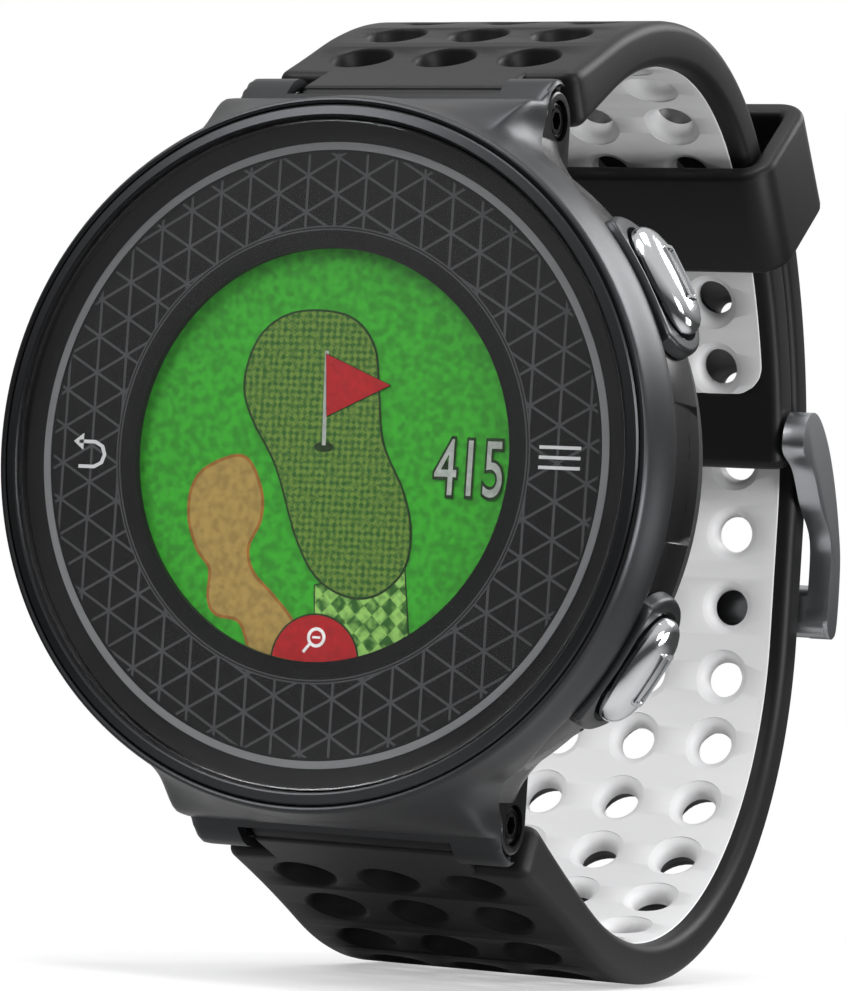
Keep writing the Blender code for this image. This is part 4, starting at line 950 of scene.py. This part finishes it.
def make_keeper_loop():
    """A rubber loop with rounded corners: a soft-edged section run round both layers."""
    skin = 33.5 * MM * math.cos(4 / 35)
    low, high = skin - 0.25 * MM - 1.5 * MM, 41.9 * MM
    outer = rounded_box(-12.4 * MM, 12.4 * MM, low, high, 2.2 * MM, 8)
    path = []
    for i, (a, b) in enumerate(outer):
        before, after = Vector(outer[i - 1]), Vector(outer[(i + 1) % len(outer)])
        along = (after - before).normalized()
        path.append((Vector((a, b)), Vector((along.y, -along.x))))
    section = rounded_box(-1.5 * MM, 0, -KEEPER_HALF_LENGTH, KEEPER_HALF_LENGTH, 0.5 * MM, 4)
    rings = []
    for point, out in path:
        rings.append([(point.x + out.x * off, run, point.y + out.y * off) for off, run in section])
    keeper = loft("keeper_loop", rings, closed=True)
    # Drawn upright with its length along Y, then turned round the wrist's centre.
    keeper.data.transform(Matrix.Translation((0, WRIST_Y, 0)) @ Matrix.Rotation(
        KEEPER_TURN - math.pi / 2, 4, "X"))
    return keeper


def make_buckle_frame(settings):
    """Two hooked arms and a front bar, all edges rounded."""
    points = [(-1.5, -0.9), (-1.7, 0.4), (-1.0, 1.7), (0.3, 2.1), (1.8, 1.5), (3.6, -0.2),
              (5.2, -2.6), (6.6, -5.6), (7.42, -8.4), (7.42, -12.7), (6.7, -13.68), (5.9, -13.5),
              (5.36, -12.5), (5.36, -10.9), (5.1, -6.8), (2.6, -4.4), (0.6, -2.0)]
    arm = smooth_outline([(BAR_Y + a * MM, BAR_Z + b * MM) for a, b in points], 5)
    frame_piece = plate("buckle_loop", arm, 10.9 * MM, 12.5 * MM)
    combine(frame_piece, plate("arm", arm, -12.5 * MM, -10.9 * MM), "UNION")
    front = rounded_box(46.02 * MM, 48.08 * MM, -8.15 * MM, -4.4 * MM, 0.85 * MM, 8)
    combine(frame_piece, plate("front", front, -12.2 * MM, 12.2 * MM), "UNION")
    notch = plate("notch", [(45 * MM, -6.17 * MM), (50 * MM, -6.17 * MM), (50 * MM, 0),
                            (45 * MM, 0)], -TONGUE_ROOM, TONGUE_ROOM)
    combine(frame_piece, notch)
    round_edges(frame_piece, settings.metal.edge, 3, 50)
    combine(frame_piece, rod("bar_hole", BAR_BORE, -12.2, 12.2, BAR_Y, BAR_Z))
    return frame_piece


def make_prong():
    """A flat tongue bent from the bar, through the strap and into the notch."""
    points = [(40.96, 4.78), (41.5, 2.5), (42.3, 0.6), (43.3, -0.62), (44.6, -1.0), (45.8, -1.5),
              (46.6, -2.9), (47.15, -5.17)]
    line = [Vector(point) for point in mm(points)]
    curve = []
    for i in range(len(line) - 1):
        curve += bend_between(line[max(i - 1, 0)], line[i], line[i + 1],
                              line[min(i + 2, len(line) - 1)], 5)
    curve.append(line[-1])
    left, right = [], []
    for i, point in enumerate(curve):
        along = (curve[min(i + 1, len(curve) - 1)] - curve[max(i - 1, 0)]).normalized()
        normal = Vector((-along.y, along.x)) * TONGUE_HALF
        left.append(tuple(point + normal))
        right.append(tuple(point - normal))
    prong = plate("buckle_tongue", left + right[::-1], -0.85 * MM, 0.85 * MM)
    round_edges(prong, 0.2 * MM, 3, 50)
    combine(prong, rod("knuckle", 1.75, -0.8, 0.8, BAR_Y, BAR_Z, 48), "UNION")
    combine(prong, rod("bore", BAR_BORE, -2, 2, BAR_Y, BAR_Z, 48))
    return prong


# ---------------------------------------------------------------- display picture

def grown(points, amount):
    """A closed outline moved outwards."""
    count = len(points)
    pairs = ((points[i - 1], points[i]) for i in range(count))
    area = sum(a[0] * b[1] - b[0] * a[1] for a, b in pairs)
    turn_way = 1 if area > 0 else -1
    moved = []
    for i in range(count):
        along = (Vector(points[(i + 1) % count]) - Vector(points[i - 1])).normalized() * turn_way
        moved.append((points[i][0] + along.y * amount, points[i][1] - along.x * amount))
    return moved


def layer(level):
    """The depth of a layer of the display's picture."""
    return DISPLAY_Y - level * 0.016 * MM


def shape(name, outline, level, material, clip=0.0):
    """A flat printed shape on the display, a few hundredths of a millimetre above it."""
    piece = plate(name, outline, layer(level), layer(level - 1), "Y")
    if clip:
        combine(piece, turned("clip", [(clip, -14 * MM), (clip, -8 * MM)], 128), "INTERSECT")
    return finish(piece, material)


def number(name, text, size, squeeze, place, level, swell, material):
    """Digits facing the wearer, made a mesh."""
    deselect()
    bpy.ops.object.text_add(rotation=(math.pi / 2, 0, 0))
    piece = bpy.context.object
    piece.name = name
    piece.data.body = text
    piece.data.size = size
    piece.data.align_x = "CENTER"
    piece.data.align_y = "CENTER"
    piece.data.offset = swell
    piece.data.extrude = 0.008 * MM
    piece.data.resolution_u = 6
    bpy.ops.object.convert(target="MESH")
    piece = bpy.context.object
    piece.scale = (squeeze, 1, 1)
    piece.location = (place[0], layer(level - 0.5), place[1])
    apply_place(piece)
    tidy(piece)
    return finish(piece, material)


def make_picture(settings):
    """The course map: field, green, bunker, rough patch, flag, distance and zoom badge."""
    picture = settings.picture
    rough = picture.rough_green

    def ink(word, first, second, size=0.5, weave=0.0):
        return screen_colour(f"display {word}", first, second, size, picture.glow, weave)

    field = ink("field", scaled(rough, 0.8), scaled(rough, 1.25))
    dark = ink("putting green", scaled(picture.green, 0.75), linear("6C8A34"), 0.3, 0.3)
    check = ink("fairway", scaled(picture.green, 0.8), scaled(linear("9CD46A"), 0.9), 0.6, 0.8)
    sand = ink("sand", scaled(picture.sand, 0.85), scaled(picture.sand, 1.15))
    rim = ink("outline", picture.outline, scaled(picture.outline, 1.5))
    brown = ink("bunker edge", linear("8A5A22"), linear("A46C2C"))
    red = ink("red", scaled(picture.flag, 0.9), scaled(picture.flag, 1.15))
    grey = ink("grey", linear("9CA29C"), linear("B4B9B4"))
    pale = ink("white", linear("E6E8E6"), linear("FFFFFF"))

    panel = turned("display_screen", [(14.2 * MM, DISPLAY_Y), (14.2 * MM, -9.85 * MM)])
    finish(panel, field, ("display_panel",))
    window = settings.dial.window_radius - 0.02 * MM

    patch = mm([(0.0, -8.0), (5.9, -6.5), (6.45, -10.9), (7, -13), (0.4, -14)])
    shape("fairway_edge", grown(patch, 0.12 * MM), 1, rim, window)
    shape("fairway", patch, 2, check, window)
    bunker = smooth_outline(mm([(-5.55, -0.35), (-4.3, -2.1), (-4.1, -4.0), (-4.85, -5.85),
                                (-4.4, -7.4), (-2.9, -8.8), (-1.45, -10.3), (-0.85, -11.8),
                                (-1.6, -13.2), (-3.6, -13.3), (-4.85, -10.5), (-6.6, -10.0),
                                (-7.2, -9.1), (-7.25, -7.25), (-8.2, -6.05), (-8.9, -4.25),
                                (-8.85, -2.4), (-7.9, -1.1)]))
    shape("bunker_edge", grown(bunker, 0.2 * MM), 1, brown, window)
    shape("bunker", bunker, 2, sand, window)
    green = smooth_outline(mm([(-1.3, 8.8), (1.3, 8.4), (2.9, 6.7), (3.4, 3.9), (3.9, 0.85),
                               (5.5, -2.15), (6.15, -4.6), (5.8, -6.8), (4.2, -8.3), (2.2, -8.5),
                               (0.05, -7.4), (-1.5, -5.0), (-3.15, -0.8), (-5.05, 2.2), (-5.7, 4.3),
                               (-5.05, 6.8), (-3.5, 8.3)]))
    shape("green_edge", grown(green, 0.14 * MM), 3, rim)
    shape("green", green, 4, dark)
    shape("hole", [(x * 1.5, z * 0.7 + 0.5 * MM) for x, z in circle(0.45 * MM)], 5, rim)
    shape("flag_pole", mm([(-0.15, 0.6), (0.1, 0.6), (-0.1, 6.4), (-0.35, 6.4)]), 6, grey)
    flag = mm([(-0.25, 6.2), (4.2, 4.4), (0.05, 2.4)])
    shape("flag_edge", grown(flag, 0.1 * MM), 6, rim)
    shape("flag", flag, 7, red)
    place = (9.85 * MM, -0.65 * MM)
    number("distance_edge", picture.distance, 4.9 * MM, 0.64, place, 5, 0.2 * MM, rim)
    number("distance", picture.distance, 4.9 * MM, 0.64, place, 6, 0, grey)
    badge = circle(2.9 * MM, 0.3 * MM, -12.7 * MM, 64)
    shape("badge_edge", grown(badge, 0.12 * MM), 5, rim, window)
    shape("badge", badge, 6, red, window)
    lens = plate("lens", circle(0.62 * MM, 0.35 * MM, -11.15 * MM), layer(7), layer(6), "Y")
    combine(lens, plate("lens_hole", circle(0.42 * MM, 0.35 * MM, -11.15 * MM), -12 * MM, -10 * MM,
                        "Y"))
    lens.name = "zoom_lens"
    finish(lens, pale)
    shape("zoom_minus", mm([(0.08, -11.22), (0.62, -11.22), (0.62, -11.08), (0.08, -11.08)]), 7,
          pale)
    shape("zoom_handle", mm([(-0.12, -11.5), (0.02, -11.6), (-0.42, -12.15), (-0.56, -12.02)]), 7,
          pale)


# ---------------------------------------------------------------- operators

class WatchStep:
    """What every step shares: it is registered and can be undone."""
    bl_options = {"REGISTER", "UNDO"}


class MakeCase(WatchStep, bpy.types.Operator):
    """Model the painted shell, the ring round the glass and the black case"""
    bl_idname = "golf_watch.case"
    bl_label = "Case and shell"

    def execute(self, context):
        settings = context.scene.golf_watch
        finish(make_shell(settings), gunmetal_paint(settings), ("top_shell",))
        finish(make_body(settings), black_nylon(settings), ("case_body",))
        radius, width = settings.case.rim_radius, settings.case.rim_width
        profile = [(radius - width, -13.4 * MM), (radius - width + 0.06 * MM, -13.52 * MM),
                   (radius - width + 0.16 * MM, -13.56 * MM), (radius - 0.12 * MM, -13.42 * MM),
                   (radius, -13.3 * MM), (radius, -12.4 * MM), (radius - width, -12.4 * MM),
                   (radius - width, -13.4 * MM)]
        finish(turned("glass_ring", profile, 192), rim_paint(settings),
               angle=20)
        return {"FINISHED"}


class MakeDial(WatchStep, bpy.types.Operator):
    """Model the glass, the printed dial, its accent ring and its two symbols"""
    bl_idname = "golf_watch.dial"
    bl_label = "Glass and dial"

    def execute(self, context):
        settings = context.scene.golf_watch
        dial = settings.dial
        glass = turned("watch_glass", mm([(20.35, -13.4), (20.5, -13.36), (20.58, -13.26),
                                          (20.6, -13.1), (20.6, -12.4)]), 192)
        finish(glass, cover_glass(), ("glass_lens",))
        face = turned("dial_face", [(dial.window_radius, -12.05 * MM), (20.5 * MM, -12.05 * MM),
                                    (20.5 * MM, -11.45 * MM), (dial.window_radius, -11.45 * MM),
                                    (dial.window_radius, -12.05 * MM)], 192)
        finish(face, printed_dial(settings), ("dial_ring",))
        silver = plain_finish("silver screen print", "9A9C9E", 0.35, 0.6)
        accent = turned("accent_line", mm([(18.75, -12.1), (19.22, -12.1), (19.22, -12.04),
                                           (18.75, -12.04), (18.75, -12.1)]), 192)
        finish(accent, silver, ("accent_ring",))
        print_grey = plain_finish("white screen print", "DADCDD", 0.5)
        bars = [plate("bar", [((16.0 + a) * MM, (0.35 + b * 0.61 + c) * MM) for a, c in (
            (-1.35, -0.1), (1.35, -0.1), (1.35, 0.1), (-1.35, 0.1))], -12.07 * MM, -12.045 * MM,
                      "Y") for b in (-1, 0, 1)]
        menu = join(bars)
        menu.name = "menu_symbol"
        finish(menu, print_grey)
        shaft = [(-0.75, 0.62), (0.35, 0.62), (0.8, 0.4), (0.98, -0.05), (0.8, -0.5), (0.35, -0.72),
                 (-0.7, -0.72), (-0.7, -0.94), (0.42, -0.94), (1.02, -0.62), (1.22, -0.05),
                 (1.02, 0.52), (0.42, 0.84), (-0.75, 0.84)]
        head = [(-1.15, 0.73), (-0.45, 1.25), (-0.45, 0.2)]
        arrow = [plate("arrow", [((-16.0 + a) * MM, (-0.5 + b) * MM) for a, b in outline],
                       -12.07 * MM, -12.045 * MM, "Y") for outline in (shaft, head)]
        back = join(arrow)
        back.name = "back_symbol"
        finish(back, print_grey)
        return {"FINISHED"}


class MakePicture(WatchStep, bpy.types.Operator):
    """Model the course map that the display shows"""
    bl_idname = "golf_watch.picture"
    bl_label = "Display picture"

    def execute(self, context):
        settings = context.scene.golf_watch
        make_picture(settings)
        return {"FINISHED"}


class MakeButtons(WatchStep, bpy.types.Operator):
    """Model the three polished button caps"""
    bl_idname = "golf_watch.buttons"
    bl_label = "Buttons"

    def execute(self, context):
        settings = context.scene.golf_watch
        chrome = polished_steel(settings)
        for where in BUTTONS:
            name = f"{where}_button"
            finish(make_cap(where), chrome, (name,), name)
        return {"FINISHED"}


class MakeStraps(WatchStep, bpy.types.Operator):
    """Model both strap halves with their holes and white linings"""
    bl_idname = "golf_watch.straps"
    bl_label = "Straps"

    def execute(self, context):
        settings = context.scene.golf_watch
        black, white = black_silicone(settings), white_silicone(settings)
        strap = settings.strap
        path = upper_path()
        total = path[-1][0]
        stop = total - WRIST_RADIUS * math.radians(5.8)
        lining_stop = total - WRIST_RADIUS * math.asin(8.6 / 33.5)
        rows = [(7.0 + 5.2 * i) * MM for i in range(10)]
        upper, lining = strap_band("upper", path, -1, strap.upper_thickness, stop, rows,
                                   lining_stop, 0.8 * MM, settings)
        combine(upper, rod("bar_hole", BAR_BORE, -12, 12, BAR_Y, BAR_Z))
        heading = station(path, stop)
        slot = plate("tongue_slot", mm([(-7.5, -4), (2, -4), (2, 4), (-7.5, 4)]), -TONGUE_ROOM,
                     TONGUE_ROOM)
        slot.data.transform(Matrix.Translation((0, heading[1], heading[2])) @ Matrix.Rotation(
            heading[3], 4, "X"))
        combine(upper, slot)
        finish(upper, black, ("upper_strap",), angle=50)
        finish(lining, white, ("upper_strap_lining",), angle=50)

        path = lower_path()
        total = path[-1][0]
        prong_row = total - OUTER_RADIUS * math.radians(OUTER_WRAP) - 1.1 * MM
        pitch = (prong_row - 6.5 * MM) / 12
        rows = [6.5 * MM + pitch * i for i in range(17)]
        lower, lining = strap_band("lower", path, 1, strap.lower_thickness, total, rows,
                                   total - 3 * MM, 4 * MM, settings)
        finish(lower, black, ("lower_strap",), angle=50)
        finish(lining, white, ("lower_strap_lining",), angle=50)
        return {"FINISHED"}


class MakeKeeper(WatchStep, bpy.types.Operator):
    """Model the rubber keeper"""
    bl_idname = "golf_watch.keeper"
    bl_label = "Keeper"

    def execute(self, context):
        settings = context.scene.golf_watch
        rubber = black_silicone(settings)
        rubber.name = "black keeper rubber"
        finish(make_keeper_loop(), rubber, ("strap_keeper",), "keeper", 50)
        return {"FINISHED"}


class MakeBuckle(WatchStep, bpy.types.Operator):
    """Model the buckle's frame, bar and tongue"""
    bl_idname = "golf_watch.buckle"
    bl_label = "Buckle"

    def execute(self, context):
        settings = context.scene.golf_watch
        steel = satin_steel(settings)
        finish(make_buckle_frame(settings), steel, ("buckle_frame",), "buckle")
        bar = rod("buckle_pin", 0.75, -12.1, 12.1, BAR_Y, BAR_Z, 48)
        round_edges(bar, 0.15 * MM)
        finish(bar, steel, ("buckle_bar",), frame_body("buckle_bar"))
        finish(make_prong(), steel, ("buckle_prong",), "prong")
        return {"FINISHED"}


def frame_body(node):
    """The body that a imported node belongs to."""
    bodies = frame["record"]["behaviour"]["bodies"]
    return next(body for body, nodes in bodies.items() if node in nodes)


class MakeHardware(WatchStep, bpy.types.Operator):
    """Model the lug screws and the back cover, and paint every part inside the case"""
    bl_idname = "golf_watch.hardware"
    bl_label = "Screws, back and inside"

    def execute(self, context):
        settings = context.scene.golf_watch
        screw_black = plain_finish("black oxide steel", "2A2A2C", 0.3, 0.9)
        for side, hand in LUGS:
            word, way = "upper" if side > 0 else "lower", "right" if hand > 0 else "left"
            screw = make_lug_screw(side, hand)
            screw.name = f"{word}_{way}_lug_fastener"
            finish(screw, screw_black, (f"{word}_{way}_lug_screw",))
        cover = turned("cover_plate", [(r * MM, y * MM) for r, y in ((20.6, -2.1), (20.85, -1.95),
                                                                     (20.9, -1.75), (20.82, -1.1),
                                                                     (20.7, -0.95), (20.5, -0.9),
                                                                     (16.5, -0.9), (16.38, -0.8),
                                                                     (16.1, -0.12), (15.95, -0.02),
                                                                     (15.7, 0.0))], 128)
        combine(cover, strap_bays("cover_bay", 2.3 * MM))
        for i in range(4):
            t = math.radians(45 + 90 * i)
            at = (COVER_SCREW_RADIUS * math.cos(t), COVER_SCREW_RADIUS * math.sin(t))
            combine(cover, turned("seat", mm([(0.85, -1.5), (0.85, 1)]), 32, at))
        for i in range(4):
            combine(cover, turned("contact_hole", mm([(0.8, -4), (0.8, 1)]), 32,
                                  (12.5 * MM, (i - 1.5) * CONTACT_PITCH)))
        finish(cover, plain_finish("spark eroded black nylon", "151516", 0.55, size=0.15),
               ("back_cover",))
        finishes = {"black_polymer": plain_finish("moulded black nylon", "111112", 0.45),
                    "film": film(), "board": plain_finish("green solder mask", "0F4A22", 0.35),
                    "flex": plain_finish("amber polyimide film", "8A4A12", 0.4),
                    "foil": plain_finish("embossed aluminium pouch foil", "B4B6B8", 0.35, 0.8, 0.8),
                    "ceramic": plain_finish("fired patch antenna ceramic", "CFC6AC", 0.6),
                    "tin": plain_finish("tinned steel can", "B2B3B5", 0.3, 1.0),
                    "seal": plain_finish("black nitrile rubber", "141414", 0.7),
                    "steel": satin_steel(settings), "gold": plain_finish("hard gold plate",
                                                                         "D9A441", 0.25, 1.0),
                    "switch": plain_finish("black switch nylon", "1E1E20", 0.5),
                    "chrome": polished_steel(settings), "black_screw": screw_black,}
        for node in frame["nodes"].values():
            if node.hide_render:
                continue
            made = finishes[node.data.materials[0].name.split(".")[0]]
            node.data.materials.clear()
            node.data.materials.append(made)
        return {"FINISHED"}


def film():
    # Optically clear touch film: nearly invisible, with a trace of gloss.
    material, tree, shader, _ = new_material("clear touch film", (0, 0, 0), 0.1)
    clear = add_node(tree, "ShaderNodeBsdfTransparent")
    blend(tree, 0.97, shader.outputs[0], clear.outputs[0])
    return material


class MakeStage(WatchStep, bpy.types.Operator):
    """Set the camera, the lamps, the pale floor and the white surroundings"""
    bl_idname = "golf_watch.stage"
    bl_label = "Stage"

    def execute(self, context):
        settings = context.scene.golf_watch
        stage = settings.stage
        turn_by, rise = stage.azimuth, stage.elevation
        back = Vector((math.sin(turn_by) * math.cos(rise), -math.cos(turn_by) * math.cos(rise),
                       math.sin(rise)))
        right = Vector((math.cos(turn_by), math.sin(turn_by), 0))
        up = back.cross(right)
        spin = stage.roll
        side = right * math.cos(spin) + up * math.sin(spin)
        top = up * math.cos(spin) - right * math.sin(spin)
        target = Vector((-1.49 * MM, 6.3 * MM, -1.26 * MM))
        deselect()
        bpy.ops.object.camera_add()
        camera = bpy.context.object
        camera.name = "camera"
        facing = Matrix((side, top, back)).transposed().to_4x4()
        camera.matrix_world = Matrix.Translation(target + back * stage.distance) @ facing
        camera.data.lens = stage.lens
        camera.data.sensor_width = 36
        camera.data.clip_start = 0.01
        bpy.context.scene.camera = camera

        for name, place, size, power in (("key_light", (-0.22, -0.3, 0.36), 0.22, 1.2),
                                         ("fill_light", (0.42, -0.12, 0.1), 0.16, 0.9),
                                         ("rim_light", (0.2, 0.34, 0.26), 0.2, 0.9),
                                         ("top_light", (0.02, -0.02, 0.45), 0.25, 1.1),
                                         ("low_light", (0.1, 0.02, -0.02), 0.04, 0.06)):
            bpy.ops.object.light_add(type="AREA", location=place)
            lamp = bpy.context.object
            lamp.name = name
            lamp.data.size = size
            lamp.data.energy = power
            lamp.rotation_euler = (Vector(place) - target).to_track_quat("Z", "Y").to_euler()

        bpy.ops.mesh.primitive_circle_add(vertices=128, radius=0.9, fill_type="NGON",
                                          location=(0, 0, -32.7 * MM))
        floor = bpy.context.object
        floor.name = "floor"
        apply_place(floor)
        # A matt white board whose far part is lit so evenly that it meets the white surroundings.
        material, tree, shader, place = new_material("matt white board", stage.floor, 0.8)
        away = add_node(tree, "ShaderNodeVectorMath", {"operation": "LENGTH"},
                        {"Vector": place}).outputs["Value"]
        share = add_node(tree, "ShaderNodeMapRange", {"From Min": 0.03, "From Max": 0.1,
                                                      "To Min": 0.4, "To Max": 1.0,
                                                      "interpolation_type": "SMOOTHSTEP"},
                         {"Value": away})
        seen = add_node(tree, "ShaderNodeMapRange", {"To Min": 0.07, "To Max": 1.0},
                        {"Value": add_node(tree, "ShaderNodeLightPath").outputs["Is Camera Ray"]})
        bright = add_node(tree, "ShaderNodeEmission", {"Color": (1, 1, 1, 1)},
                          {"Strength": seen.outputs["Result"]})
        blend(tree, share.outputs["Result"], shader.outputs[0], bright.outputs[0])
        floor.data.materials.append(material)

        world = bpy.data.worlds.new("white studio")
        bpy.context.scene.world = world
        world.use_nodes = True
        # The surroundings look pure white but light the watch gently, so that blacks stay black.
        tree = world.node_tree
        shown = tree.nodes["Background"]
        shown.inputs["Color"].default_value = (1, 1, 1, 1)
        way = add_node(tree, "ShaderNodeTexCoord").outputs["Generated"]
        height = add_node(tree, "ShaderNodeSeparateXYZ", links={"Vector": way}).outputs["Z"]
        sky = add_node(tree, "ShaderNodeMapRange", {"From Min": 0.0, "From Max": 0.6,
                                                    "To Min": 0.06, "To Max": 0.7},
                       {"Value": height})
        soft = add_node(tree, "ShaderNodeBackground", {"Color": (1, 1, 1, 1)},
                        {"Strength": sky.outputs["Result"]})
        ray = add_node(tree, "ShaderNodeLightPath").outputs["Is Camera Ray"]
        blend(tree, ray, soft.outputs[0], shown.outputs[0], "World Output")
        bpy.context.scene.view_settings.view_transform = "Standard"
        return {"FINISHED"}


STEPS = (MakeCase, MakeDial, MakePicture, MakeButtons, MakeStraps, MakeKeeper, MakeBuckle,
         MakeHardware, MakeStage)


class WatchPanel(bpy.types.Panel):
    """Lists every step of the golf watch"""
    bl_idname = "VIEW3D_PT_golf_watch"
    bl_label = "Golf Watch"
    bl_space_type = "VIEW_3D"
    bl_region_type = "UI"
    bl_category = "Golf Watch"

    def draw(self, context):
        column = self.layout.column()
        for step in STEPS:
            column.operator(step.bl_idname)
        watch = context.scene.golf_watch
        for name in ("case", "dial", "picture", "strap", "metal", "stage"):
            group = getattr(watch, name)
            box = column.box()
            box.label(text=name.title())
            for key in group.__annotations__:
                box.prop(group, key)


GROUPS = (CaseSettings, DialSettings, PictureSettings, StrapSettings, MetalSettings, StageSettings,
          WatchSettings)


def register():
    for item in GROUPS + STEPS + (WatchPanel,):
        bpy.utils.register_class(item)
    bpy.types.Scene.golf_watch = PointerProperty(type=WatchSettings)


def unregister():
    del bpy.types.Scene.golf_watch
    for item in reversed(GROUPS + STEPS + (WatchPanel,)):
        bpy.utils.unregister_class(item)


def main():
    register()
    for step in STEPS:
        operator = getattr(bpy.ops.golf_watch, step.bl_idname.split(".")[1])
        operator()


if __name__ == "__main__":
    main()
